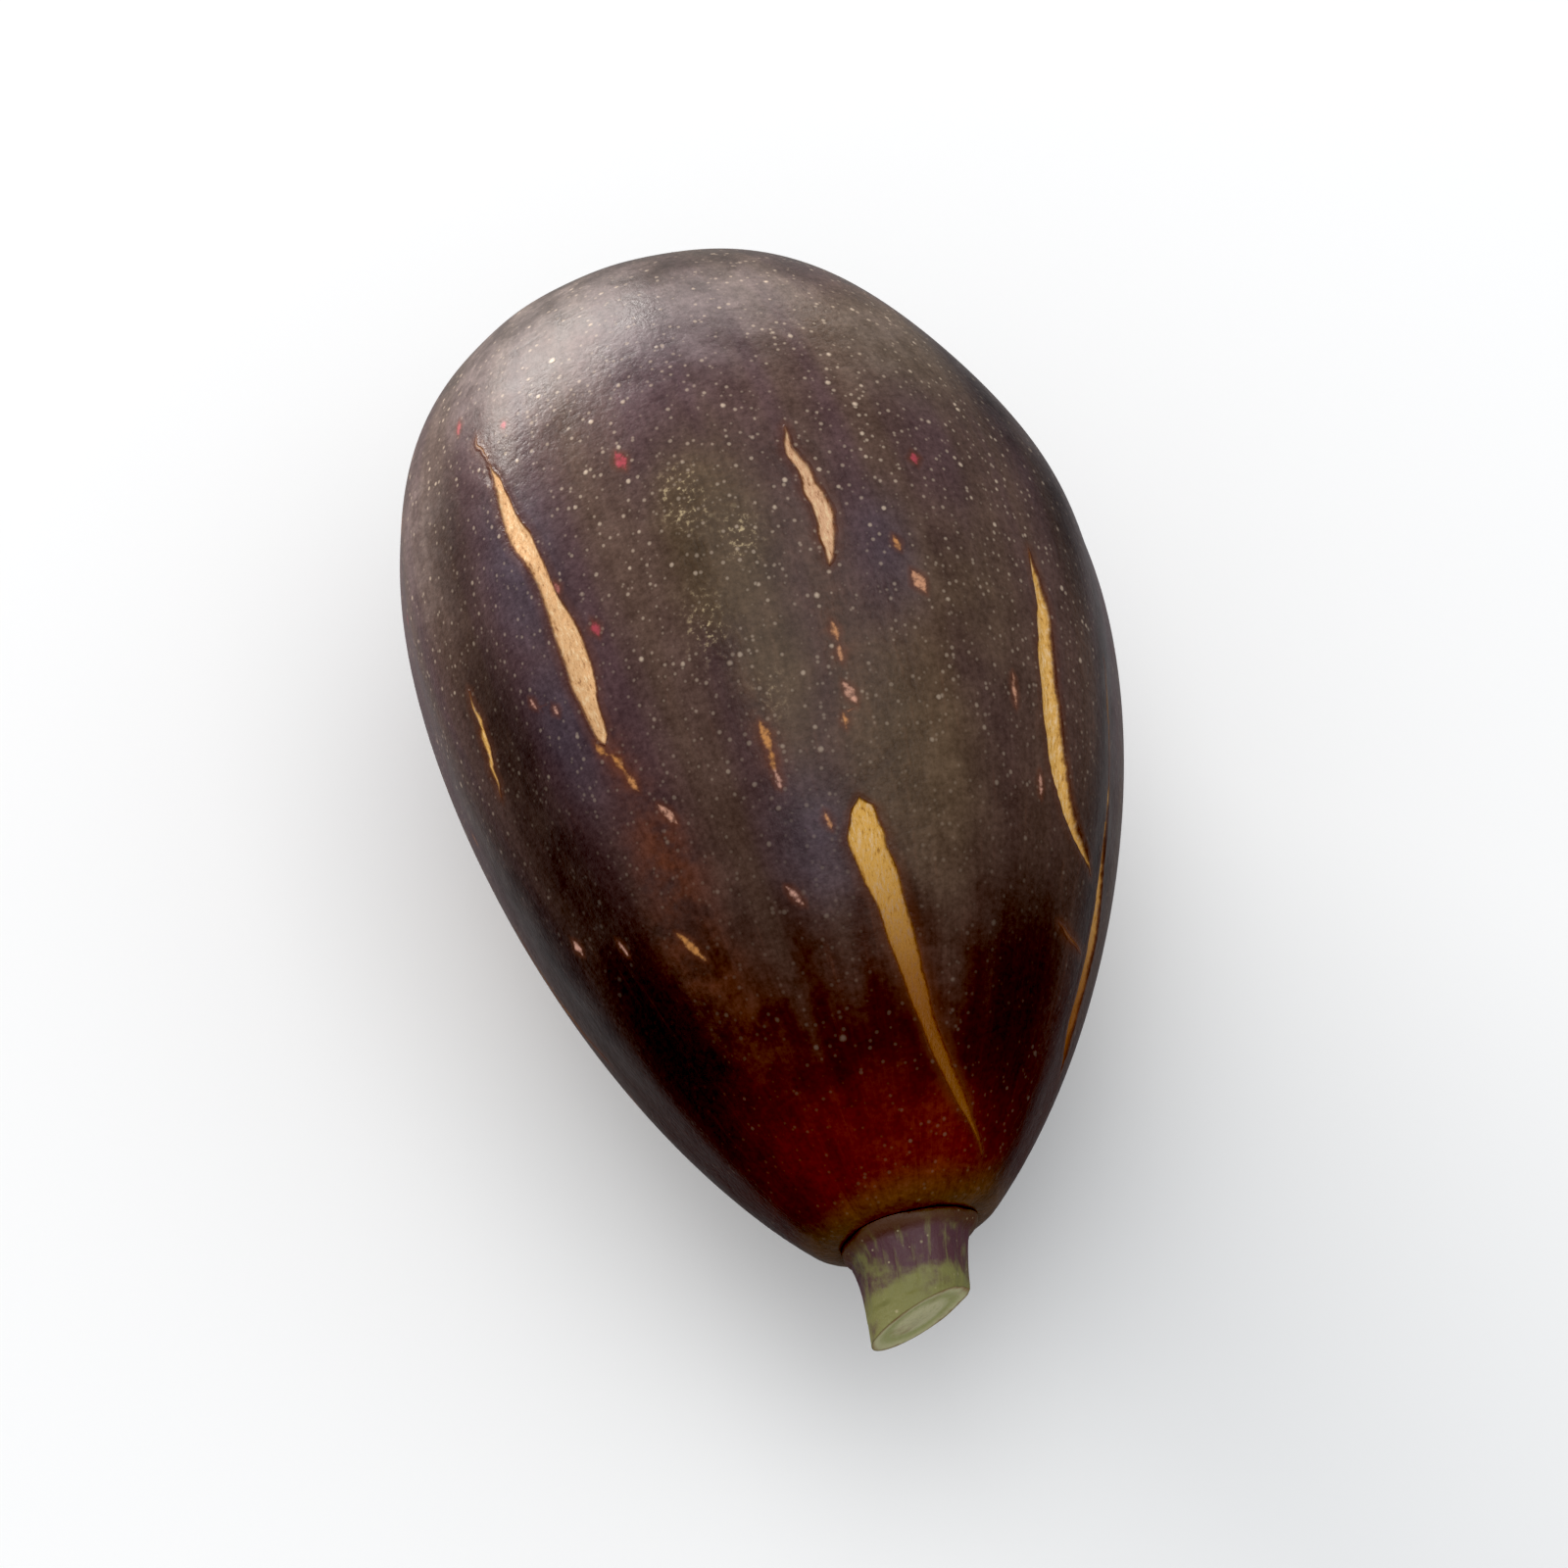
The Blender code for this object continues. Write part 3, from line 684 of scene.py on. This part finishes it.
def skin_finish():
    f = Finish("plum_dark_fig_skin")
    at = f.millimetres()
    way = f.vector_from("way")
    along = f.number_from("along")

    # Broad colour: plum, with violet, olive and red zones that run lengthwise; near-black painted shade on
    # the shaded flanks, and a painted red glow near the neck
    lengthwise = f.vector("MULTIPLY", way, LENGTHWISE)
    bands = f.noise(lengthwise, BAND_WIDTH, 2)
    fibres = f.noise(lengthwise, FIBRE_WIDTH, 4, 0.65)
    mottle = f.noise(at, MOTTLE_SIZE, 4, 0.62)
    grain = f.noise(at, GRAIN_SIZE, 3, 0.6)

    def zone(name, firmness=0.5, full_at=0.62):
        ragged = f.math("MULTIPLY_ADD", mottle, firmness, 0.75 - firmness / 2)
        return f.ramp(f.math("MULTIPLY", f.number_from(name), ragged), 0.08, full_at)

    colour = f.mix(f.ramp(bands, 0.38, 0.62), PLUM, PLUM_BROWN)
    from_eye = f.math("MULTIPLY_ADD", mottle, 10.0, along)
    colour = f.mix(f.ramp(from_eye, 19.0, 7.0, 0.0, 0.85), colour, UMBER)
    colour = f.mix(f.ramp(along, 32.0, 56.0), colour, DARK_BROWN)
    colour = f.mix(zone("violet"), colour, VIOLET)
    colour = f.mix(zone("olive"), colour, OLIVE)
    red_starts = f.math("MULTIPLY_ADD", bands, -14.0, along)
    red_starts = f.math("MULTIPLY_ADD", mottle, -6.0, red_starts)
    colour = f.mix(f.ramp(red_starts, 39.0, 49.5), colour, RED_BROWN)
    # Painted shade: near-black over the shaded flanks and the pressed right shoulder; fewer pores show there
    painted_shade = zone("painted_shade", 0.9, 0.82)
    colour = f.mix(painted_shade, colour, PAINTED_SHADE_BLACK)
    # Painted glow: deep red near the neck, for light shining through the skin
    colour = f.mix(zone("glow", 0.4, 0.75), colour, GLOW_RED)
    colour = f.mix(f.ramp(along, 65.0, 68.0, 0.0, 0.8), colour, NECK_OLIVE)

    # Rusty streaks in the lower flanks, and a thin waxy bloom towards the eye that is also a painted
    # highlight: a pale sheen where the back light catches the upper shoulders
    streaks = f.math("MULTIPLY", f.ramp(fibres, 0.58, 0.78), f.ramp(along, 28.0, 44.0, 0.0, 0.16))
    stained = f.math("MULTIPLY", f.number_from("rusty"), f.ramp(mottle, 0.34, 0.62, 0.12, 0.9))
    colour = f.mix(f.math("MAXIMUM", streaks, stained), colour, RUST)
    bloom_and_sheen_share = f.math("MULTIPLY", zone("bloom_and_sheen"), f.ramp(mottle, 0.30, 0.70, 0.55, 1.0))
    colour = f.mix(f.math("MULTIPLY", bloom_and_sheen_share, 0.40), colour, BLOOM_AND_SHEEN)

    # Light and dark in the skin's grain and along its fibres
    tone = f.math("MULTIPLY", f.ramp(grain, 0.25, 0.75, 0.80, 1.20), f.ramp(fibres, 0.25, 0.75, 0.90, 1.10))
    tone = f.math("MULTIPLY", tone, f.ramp(mottle, 0.25, 0.75, 0.82, 1.18))
    tone = f.math("MULTIPLY", tone, f.ramp(bands, 0.30, 0.70, 0.86, 1.14))
    colour = f.scaled(colour, tone)

    # Pores: very many small pale dots, most of them faint, fewer towards the neck
    uneven = f.math("MULTIPLY_ADD", grain, 1.0, -0.5)
    kinds = []
    for start, spacing, radius, spread, showing in PORES:
        dots, chance = f.dots(f.vector("ADD", at, start), spacing, radius, spread, uneven)
        kinds.append(f.math("MULTIPLY", dots, f.ramp(chance, *showing)))
    small, middling, large = kinds
    large_ones = f.math("MAXIMUM", middling, large)
    thinning = f.math("MULTIPLY", f.ramp(along, 24.0, 54.0, 1.0, 0.16), f.ramp(bands, 0.3, 0.7, 0.6, 1.0))
    thinning = f.math("MULTIPLY", thinning, f.ramp(painted_shade, 0.1, 0.8, 1.0, 0.30))
    thinning = f.math("MULTIPLY", thinning, f.ramp(along, 2.0, 9.0, 0.45, 1.0))
    pores = f.math("MULTIPLY", f.math("MAXIMUM", small, large_ones), thinning, clamp=True)
    colour = f.mix(f.math("MULTIPLY", pores, 0.85), colour, PORE)
    # Painted glints: pale cream specks standing in for highlights on cracked skin
    glint_share = f.math("MULTIPLY", zone("painted_glints", 0.8, 0.9), f.ramp(grain, 0.54, 0.70, 0.0, 0.75))
    colour = f.mix(glint_share, colour, GLINT_CREAM)

    # Flecks: red, pale pink and orange tan, broken up like scuffs, in a rusty halo
    ragged = f.math("MULTIPLY_ADD", grain, 0.36, -0.18)
    off_fleck = f.math("ABSOLUTE", f.number_from("fleck_offset"))
    fleck_room = f.math("SUBTRACT", f.number_from("fleck_open"), off_fleck)
    fleck_room = f.math("ADD", fleck_room, ragged)
    fleck_tone = f.number_from("fleck_tone")
    fleck = f.mix(f.ramp(fleck_tone, 0.0, 1.0), FLECK_ORANGE, FLECK_PINK)
    fleck = f.mix(f.ramp(fleck_tone, 1.0, 2.0), fleck, FLECK_RED)
    colour = f.mix(f.ramp(fleck_room, -0.60, 0.10, 0.0, 0.50), colour, RUST)
    scuffed = f.math("MULTIPLY", f.ramp(fleck_room, -0.12, 0.16), f.ramp(grain, 0.30, 0.62, 0.25, 0.95))
    colour = f.mix(scuffed, colour, fleck)

    # Splits: a corky bed with lengthwise grain, a thin dark edge and a faint stain beside it
    opening = f.number_from("split_open")
    wavy = f.math("MULTIPLY_ADD", mottle, 0.24, -0.12)
    wavy = f.math("MULTIPLY", f.math("MULTIPLY_ADD", ragged, 0.45, wavy), f.ramp(opening, 0.0, 0.5, 0.3, 1.0))
    room = f.math("SUBTRACT", opening, f.math("ABSOLUTE", f.number_from("split_offset")))
    room = f.math("ADD", room, wavy)
    bed = f.ramp(room, -0.04, 0.12)
    edge = f.math("MULTIPLY", f.ramp(room, -0.20, 0.0), f.ramp(room, 0.16, 0.02))
    cork = f.noise(f.vector("MULTIPLY", way, CORK_LENGTHWISE), CORK_SIZE, 3, 0.7)
    corky = f.mix(f.number_from("split_gold"), BED_TAN, BED_GOLD)
    corky = f.mix(f.ramp(cork, 0.48, 0.70, 0.0, 0.85), corky, BED_PALE)
    corky = f.mix(f.ramp(cork, 0.46, 0.28, 0.0, 0.70), corky, BED_BROWN)
    corky = f.mix(f.ramp(room, 0.30, 0.04, 0.0, 0.40), corky, BED_BROWN)
    browned = f.math("MULTIPLY_ADD", cork, 8.0, along)
    corky = f.mix(f.ramp(browned, 49.0, 62.5, 0.0, 0.90), corky, BED_BROWN)
    colour = f.mix(f.ramp(room, -0.9, 0.0, 0.0, 0.35), colour, BED_EDGE)
    colour = f.mix(bed, colour, corky)
    edge_show = f.math("MULTIPLY", edge, f.ramp(mottle, 0.35, 0.65, 0.25, 0.80))
    colour = f.mix(edge_show, colour, BED_EDGE)
    f.surface("Base Color", colour)

    # The waxy bloom and the corky beds are rougher than the bare skin
    rough = f.math("MULTIPLY_ADD", bloom_and_sheen_share, 0.16, SKIN_ROUGHNESS)
    rough = f.math("ADD", rough, f.math("MULTIPLY_ADD", mottle, 0.24, -0.12))
    rough = f.math("ADD", f.math("MULTIPLY", bed, 0.35), rough)
    f.surface("Roughness", rough)
    f.surface("Specular IOR Level", SKIN_SPECULAR)

    height = f.math("MULTIPLY_ADD", grain, GRAIN_HEIGHT, f.math("MULTIPLY", mottle, MOTTLE_HEIGHT))
    height = f.math("MULTIPLY_ADD", fibres, FIBRE_HEIGHT, height)
    height = f.math("MULTIPLY_ADD", large_ones, PORE_HEIGHT, height)
    height = f.math("MULTIPLY_ADD", f.math("MULTIPLY", bed, cork), CORK_HEIGHT, height)
    height = f.math("MULTIPLY_ADD", bed, -BED_SINK, height)
    f.relief(f.math("MULTIPLY_ADD", edge, EDGE_HEIGHT, height))
    return f.material


EYE_SCALE_THICKNESS = 0.26 * MM
# Rings of eye scales. Each: how many, root radius, root depth below the skin, length, width,
# rise from the skin's plane at the root, how much they curl back, sharpness, turn of the ring,
# and how much they differ from one another. Lengths in millimetres, angles in degrees.
EYE_RINGS = (
    (6, 2.1, 0.42, 2.0, 3.1, 22, 26, 0.35, 0, 0.30),
    (6, 2.1, 0.80, 1.8, 2.7, 62, 60, 0.35, 25, 0.34),
    (5, 2.0, 1.30, 1.7, 2.4, 100, 20, 0.30, 50, 0.36),
    (5, 1.7, 1.50, 1.5, 2.1, 112, -15, 0.30, 8, 0.24),
    (3, 2.0, 0.55, 2.8, 0.45, 48, 50, 1.00, 75, 0.08),
)
EYE_RISES_DIFFER = 60
EYE_TURNS_DIFFER = 50
EYE_LEAN_OVER = 1.3 * MM
EYE_SCALE_PIECES = 14
EYE_SCALE_PARTS = 8
EYE_TEAR = 0.14
EYE_FRAY = 0.06
EYE_HOLLOW = 0.35
EYE_WAVY_SIDES = 0.10
EYE_RIPPLE = 0.05 * MM
PLUG_GAP = 0.15 * MM
PLUG_RAISED = 0.1 * MM
PLUG_STEPS = 48
EYE_ROUGHNESS = 0.55
EYE_PIT_SHADE = (0.016, 0.004, 0.003)
EYE_RUSSET = (0.095, 0.022, 0.014)
EYE_TAN = (0.24, 0.082, 0.038)
EYE_CREAM = (0.62, 0.40, 0.25)
EYE_PLUM = (0.060, 0.032, 0.036)


def divided_box(pieces, parts):
    """A unit cube about the origin, divided into pieces along X and into parts along Z."""
    bm = bmesh.new()
    bmesh.ops.create_cube(bm, size=1)
    for axis, cuts in ((0, pieces - 1), (2, parts - 1)):
        long_edges = [edge for edge in bm.edges if abs(edge.verts[0].co[axis] - edge.verts[1].co[axis]) > 0.5]
        bmesh.ops.subdivide_edges(bm, edges=long_edges, cuts=cuts, use_grid_fill=True)
    return bm


def eye_scale(length, width, rise, curl, sharpness, number):
    """One thin curved scale, its tip a little torn, and how far along and aside each point is."""
    bm = divided_box(EYE_SCALE_PIECES, EYE_SCALE_PARTS)
    reaches, sides = [], []
    for vertex in bm.verts:
        reach, side = vertex.co.x + 0.5, 2 * vertex.co.z
        tear = EYE_TEAR * math.sin(5 * side + 1.9 * number) + EYE_FRAY * math.sin(13 * side + number)
        torn = 1 + tear * reach**3
        lean = rise - curl * reach * (1 + 0.25 * side * math.sin(number))
        out = length * torn * (math.sin(rise) - math.sin(lean)) / curl
        up = length * torn * (math.cos(lean) - math.cos(rise)) / curl
        half_width = 0.5 * width * max(0.10, 1 - reach**2.2) ** sharpness
        half_width *= 1 + EYE_WAVY_SIDES * math.sin(13 * reach + 2.3 * number) * reach
        thin = (1 - 0.65 * reach) * (1 - 0.6 * side * side)
        lift = EYE_SCALE_THICKNESS * vertex.co.y * thin + EYE_HOLLOW * half_width * side * side
        lift += EYE_RIPPLE * math.sin(9 * reach + 4 * side + number)
        vertex.co = (out - lift * math.sin(lean), up + lift * math.cos(lean), side * half_width)
        reaches.append(reach)
        sides.append(side)
    face_outwards(bm)
    return bm, reaches, sides


def make_eye():
    """The eye's ragged rosette of thin scales, on a plug in the pit; the plug and the scales' roots are
    painted near-black as the pit's shade.
    """
    plug_radius = EYE_PIT_RADIUS - PLUG_GAP
    plug_foot = EYE_PIT_DEPTH - PLUG_RAISED
    outline = [
        (plug_foot, 0),
        (plug_foot, 0.5 * plug_radius),
        (0.6 * EYE_PIT_DEPTH, 0.93 * plug_radius),
        (0.26 * EYE_PIT_DEPTH, 0.99 * plug_radius),
        (0.34 * EYE_PIT_DEPTH, 0.62 * plug_radius),
        (0.66 * EYE_PIT_DEPTH, 0.22 * plug_radius),
        (0.70 * EYE_PIT_DEPTH, 0),
    ]
    rosette = turned(outline, PLUG_STEPS)
    reach_layer = rosette.verts.layers.float.new("reach")
    side_layer = rosette.verts.layers.float.new("side")
    tint_layer = rosette.verts.layers.float.new("tint")
    for ring, form in enumerate(EYE_RINGS):
        count, root, depth, length, width, rise, curl, sharpness, offset, differ = form
        for number in range(count):
            wander = math.sin(2.3 * number + 1.7 * ring)
            other_wander = math.sin(4.1 * number + 2.9 * ring + 1)
            scale, reaches, sides = eye_scale(
                length * MM * (1 + differ * wander),
                width * MM * (1 + differ * other_wander),
                math.radians(rise + EYE_RISES_DIFFER * differ * other_wander),
                math.radians(curl * (1 + differ * wander)),
                sharpness,
                number + 3 * ring,
            )
            angle = math.radians(offset + 360 * number / count + EYE_TURNS_DIFFER * differ * wander)
            turn = Matrix.Rotation(angle, 3, "Y")
            rooted = [turn @ (vertex.co + Vector((root * MM, -depth * MM, 0))) for vertex in scale.verts]
            copies = {}
            for vertex, co, reach, side in zip(scale.verts, rooted, reaches, sides):
                copy = rosette.verts.new(co)
                copy[reach_layer] = reach
                copy[side_layer] = abs(side)
                copy[tint_layer] = 0.5 + 0.5 * other_wander
                copies[vertex] = copy
            for face in scale.faces:
                rosette.faces.new([copies[vertex] for vertex in face.verts])
            scale.free()
    eye = as_object("eye_rosette", rosette)
    points = laid_down(grow_uneven(coordinates(eye.data)))
    bent_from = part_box("eye_scales")[1].y - EYE_LEAN_OVER
    beyond = np.maximum(points[:, 1] - bent_from, 0)
    points[:, 1] += EYE_LEAN_OVER * np.tanh(beyond / EYE_LEAN_OVER) - beyond
    set_coordinates(eye.data, points)
    dress(eye, "eye_scales", eye_finish())


def eye_finish():
    f = Finish("russet_eye_scale")
    at = f.millimetres()
    reach = f.number_from("reach")
    side = f.number_from("side")
    mottle = f.noise(at, 0.7, 4)
    fine = f.noise(at, 0.18, 3)
    tanned = f.math("MULTIPLY_ADD", f.number_from("tint"), 0.30, mottle)
    colour = f.mix(f.ramp(tanned, 0.48, 0.88), EYE_RUSSET, EYE_TAN)
    colour = f.mix(f.ramp(f.number_from("tint"), 0.22, 0.05, 0.0, 0.8), colour, EYE_PLUM)
    # Painted shade: near-black towards the scales' roots and over the plug, deep in the pit
    colour = f.mix(f.ramp(reach, 0.70, 0.15), colour, EYE_PIT_SHADE)
    side_margin = f.math("MULTIPLY", f.ramp(side, 0.84, 0.98), f.ramp(reach, 0.20, 0.5))
    margin = f.math("MAXIMUM", side_margin, f.ramp(reach, 0.92, 0.99))
    margin = f.math("MULTIPLY", margin, f.ramp(fine, 0.35, 0.62, 0.15, 0.95))
    f.surface("Base Color", f.mix(margin, colour, EYE_CREAM))
    f.surface("Roughness", EYE_ROUGHNESS)
    f.relief(f.math("MULTIPLY_ADD", fine, 0.035, f.math("MULTIPLY", mottle, 0.05)))
    return f.material


# The stalk stub, as in the solids
CLEARANCE = 0.3 * MM
STALK_LENGTH = 5.6 * MM
STALK_ROOT_RADIUS = 3.85 * MM
STALK_RADIUS = 3.25 * MM
STALK_NARROWS_OVER = 1.6 * MM
COLLAR_RADIUS = 4.25 * MM
COLLAR_LOBE = 0.4 * MM
COLLAR_HEIGHT = 0.9 * MM
BRACTS = 3
FURROWS = 5
FURROW_DEPTH = 0.12 * MM
STALK_CUT_SLOPE = math.radians(17)

# How finely the stalk is made, and its smallest forms
STALK_STEPS = 120
STALK_RINGS = 54
COLLAR_RINGS = 8
COLLAR_BULGE = 0.06 * MM
BARK_HEIGHT = 0.03 * MM
BARK_FIRST_RING = 0.15 * MM
FACE_GAP = 0.05 * MM
SHARP_EDGE = math.radians(50)

# Rings of the cut face: share of the way out from its middle, and height over the cut in millimetres
CUT_RINGS = (
    (0.97, 0.02),
    (0.90, 0.03),
    (0.80, -0.02),
    (0.66, -0.07),
    (0.45, -0.03),
    (0.20, 0.04),
    (0.02, 0.05),
)
STALK_PORE = (0.50, 0.42, 0.25)
STALK_PURPLE = (0.10, 0.045, 0.052)
STALK_GREEN = (0.22, 0.21, 0.075)
STALK_BROWN = (0.090, 0.040, 0.018)
CUT_CREAM = (0.66, 0.62, 0.36)
CUT_GREEN = (0.36, 0.38, 0.13)
CUT_BROWN = (0.30, 0.17, 0.07)


def make_stalk():
    """The stalk stub with its collar of bracts, and an oblique cut with a bark ring and a soft pith."""
    start = FRUIT_LENGTH - SOCKET_DEPTH + CLEARANCE
    face = FRUIT_LENGTH + FACE_GAP
    foot = SOCKET_RADIUS - CLEARANCE
    end = FRUIT_LENGTH + 1.5 * STALK_LENGTH
    outline = [(start, 0), (start, foot), (face, foot), (face, COLLAR_RADIUS)]
    for share in np.linspace(0.1, 1, COLLAR_RINGS):
        swell = COLLAR_RADIUS + (STALK_ROOT_RADIUS - COLLAR_RADIUS) * share**2.2
        outline.append((face + COLLAR_HEIGHT * share, swell + COLLAR_BULGE * math.sin(math.pi * share)))
    above_collar = face + COLLAR_HEIGHT
    for along in np.linspace(above_collar + BARK_FIRST_RING, end, STALK_RINGS):
        narrowed = math.exp(-(along - above_collar) / STALK_NARROWS_OVER)
        outline.append((along, STALK_RADIUS + (STALK_ROOT_RADIUS - STALK_RADIUS) * narrowed))
    outline.append((end, 0))
    bm = turned(outline, STALK_STEPS)
    for vertex in bm.verts:
        along, around = -vertex.co.y, math.atan2(vertex.co.z, vertex.co.x)
        radius = math.hypot(vertex.co.x, vertex.co.z)
        if radius < 1.1 * foot:
            continue
        collar = max(0.0, min(1.0, (face + COLLAR_HEIGHT - along) / COLLAR_HEIGHT))
        lobes = COLLAR_LOBE * max(0, math.cos(BRACTS * around)) * collar
        furrows = FURROW_DEPTH * math.cos(FURROWS * around + 0.6) * (1 - collar)
        bark = BARK_HEIGHT * math.sin(17 * around + 2 * math.sin(along / MM)) * (1 - collar)
        grown = (radius + lobes + furrows + bark) / radius
        vertex.co.x *= grown
        vertex.co.z *= grown
    across = Vector((math.sin(STALK_CUT_SLOPE), -math.cos(STALK_CUT_SLOPE), 0))
    middle = Vector((0, -FRUIT_LENGTH - STALK_LENGTH, 0))
    cut_layer = bm.verts.layers.float.new("cut")
    centre_layer = bm.verts.layers.float.new("from_centre")
    everything = bm.verts[:] + bm.edges[:] + bm.faces[:]
    cut = bmesh.ops.bisect_plane(bm, geom=everything, plane_co=middle, plane_no=across, clear_outer=True)
    for vertex in bm.verts:
        vertex[centre_layer] = 1.0
    rim = [item for item in cut["geom_cut"] if isinstance(item, bmesh.types.BMEdge)]
    cap = bmesh.ops.contextual_create(bm, geom=rim)["faces"][0]
    outer = list(cap.verts)
    bmesh.ops.delete(bm, geom=[cap], context="FACES_ONLY")
    reaches = [vertex.co - middle for vertex in outer]
    for share, height in CUT_RINGS:
        inner = [bm.verts.new(middle + share * reach + height * MM * across) for reach in reaches]
        for vertex in inner:
            vertex[cut_layer] = 1.0
            vertex[centre_layer] = share
        for number in range(len(outer)):
            after = (number + 1) % len(outer)
            bm.faces.new((outer[number], outer[after], inner[after], inner[number]))
        outer = inner
    bmesh.ops.pointmerge(bm, verts=outer, merge_co=middle + CUT_RINGS[-1][1] * MM * across)
    face_outwards(bm)
    stalk = as_object("stalk_stub", bm)
    points = coordinates(stalk.data)
    around = np.arctan2(points[:, 2], points[:, 0])
    spread = STALK_RADIUS / MM
    way = np.stack([spread * np.cos(around), spread * np.sin(around), -points[:, 1] / MM], axis=-1)
    set_vectors(stalk.data, "way", way)
    set_numbers(stalk.data, "along", (-points[:, 1] - FRUIT_LENGTH) / MM)
    set_coordinates(stalk.data, laid_down(grow_uneven(points)))
    stalk.data.set_sharp_from_angle(angle=SHARP_EDGE)
    dress(stalk, "stem", stalk_finish())


def stalk_finish():
    f = Finish("green_purple_stalk")
    at = f.millimetres()
    along = f.number_from("along")
    fibres = f.noise(f.vector("MULTIPLY", f.vector_from("way"), (1, 1, 0.15)), 0.35, 4, 0.6)
    mottle = f.noise(at, 1.6, 4)
    grain = f.noise(at, 0.25, 3)
    uneven = f.math("MULTIPLY_ADD", mottle, 0.24, -0.12)
    from_centre = f.math("ADD", f.number_from("from_centre"), uneven)
    greener = f.math("ADD", f.ramp(along, 2.0, 5.5, 0.0, 0.35), mottle)
    colour = f.mix(f.ramp(greener, 0.48, 0.80), STALK_PURPLE, STALK_GREEN)
    colour = f.mix(f.ramp(fibres, 0.50, 0.75, 0.0, 0.6), colour, STALK_GREEN)
    colour = f.mix(f.ramp(along, 1.3, 0.5, 0.0, 0.85), colour, STALK_BROWN)
    pores, _ = f.dots(at, 0.9, 0.13)
    colour = f.mix(f.math("MULTIPLY", pores, 0.6), colour, STALK_PORE)
    wood = f.mix(f.ramp(from_centre, 0.42, 0.68, 0.0, 0.75), CUT_CREAM, CUT_GREEN)
    wood = f.mix(f.ramp(from_centre, 0.70, 0.88, 0.0, 0.8), wood, CUT_CREAM)
    wood = f.mix(f.ramp(from_centre, 0.88, 1.00), wood, CUT_BROWN)
    wood = f.mix(f.ramp(grain, 0.50, 0.78, 0.0, 0.5), wood, CUT_GREEN)
    wood = f.mix(f.ramp(mottle, 0.55, 0.80, 0.0, 0.5), wood, CUT_BROWN)
    cut = f.number_from("cut")
    f.surface("Base Color", f.mix(f.ramp(cut, 0.3, 0.9), colour, wood))
    f.surface("Roughness", f.math("MULTIPLY_ADD", grain, 0.25, 0.36))
    f.relief(f.math("MULTIPLY_ADD", fibres, 0.07, f.math("MULTIPLY", grain, 0.05)))
    return f.material


FLOOR_HALF_SIDE = 2.5
FLOOR_ROUGHNESS = 0.9
FLOOR_IN_VIEW = (0.955, 0.958, 0.96)
FLOOR_IN_REFLECTIONS = (0.34, 0.34, 0.345)
SKY_COLOUR = (0.96, 0.98, 1.0)
SKY_STRENGTH = 0.66
BLACK_POINT = 0.028

# Lights. Each: name, place, the point it faces, its two sides, radiance and colour.
LIGHTS = (
    ("back_window", (-0.38, 0.97, 0.14), (0, 0, 0.02), (0.84, 0.26), 25.0, (1.0, 0.96, 0.92)),
    ("side_window", (0.34, 0.98, 0.13), (0, 0, 0.02), (0.36, 0.24), 4.5, (1.0, 0.97, 0.92)),
    ("ceiling_panel", (0.05, 0.0, 1.15), (0, 0, 0), (1.1, 0.9), 1.15, (1, 1, 1)),
)


def make_stage():
    """A plain pale floor, dimmer as the fruit reflects it, since it lay in shade; a dim even sky."""
    bm = bmesh.new()
    bmesh.ops.create_grid(bm, x_segments=1, y_segments=1, size=FLOOR_HALF_SIDE)
    floor = as_object("floor", bm)
    pale = Finish("pale_floor")
    in_view = pale.node("LightPath").outputs["Is Camera Ray"]
    pale.surface("Base Color", pale.mix(in_view, FLOOR_IN_REFLECTIONS, FLOOR_IN_VIEW))
    pale.surface("Roughness", FLOOR_ROUGHNESS)
    pale.surface("Specular IOR Level", 0.0)
    floor.data.materials.append(pale.material)

    world = bpy.data.worlds.new("soft_sky")
    world.use_nodes = True
    background = world.node_tree.nodes["Background"]
    background.inputs["Color"].default_value = (*SKY_COLOUR, 1)
    background.inputs["Strength"].default_value = SKY_STRENGTH
    bpy.context.scene.world = world
    view = bpy.context.scene.view_settings
    view.view_transform = "Standard"
    view.use_curve_mapping = True
    view.curve_mapping.black_level = (BLACK_POINT, BLACK_POINT, BLACK_POINT)
    view.curve_mapping.update()


def soft_light(name, place, target, size, radiance, colour):
    """A flat soft light of a given radiance, seen only through what it lights."""
    light = bpy.data.lights.new(name, "AREA")
    light.shape = "RECTANGLE"
    light.size, light.size_y = size
    light.energy = radiance * math.pi * size[0] * size[1]
    light.color = colour
    made = bpy.data.objects.new(name, light)
    made.visible_camera = False
    made.location = place
    made.rotation_euler = (Vector(target) - Vector(place)).to_track_quat("-Z", "Y").to_euler()
    bpy.context.scene.collection.objects.link(made)


CAMERA_AZIMUTH = math.radians(-15.6)
CAMERA_ELEVATION = math.radians(62)
CAMERA_DISTANCE = 0.60
CAMERA_LENS = 215
LOOKS_AT = Vector((-0.0012, -0.0060, 0.020))


def make_camera():
    camera = bpy.data.cameras.new("camera")
    camera.lens = CAMERA_LENS
    made = bpy.data.objects.new("camera", camera)
    level = math.cos(CAMERA_ELEVATION)
    towards = Vector(
        (math.sin(CAMERA_AZIMUTH) * level, -math.cos(CAMERA_AZIMUTH) * level, math.sin(CAMERA_ELEVATION))
    )
    made.location = LOOKS_AT + CAMERA_DISTANCE * towards
    made.rotation_euler = (-towards).to_track_quat("-Z", "Y").to_euler()
    bpy.context.scene.collection.objects.link(made)
    bpy.context.scene.camera = made


make_skin()
make_eye()
make_stalk()
make_stage()
for light in LIGHTS:
    soft_light(*light)
make_camera()
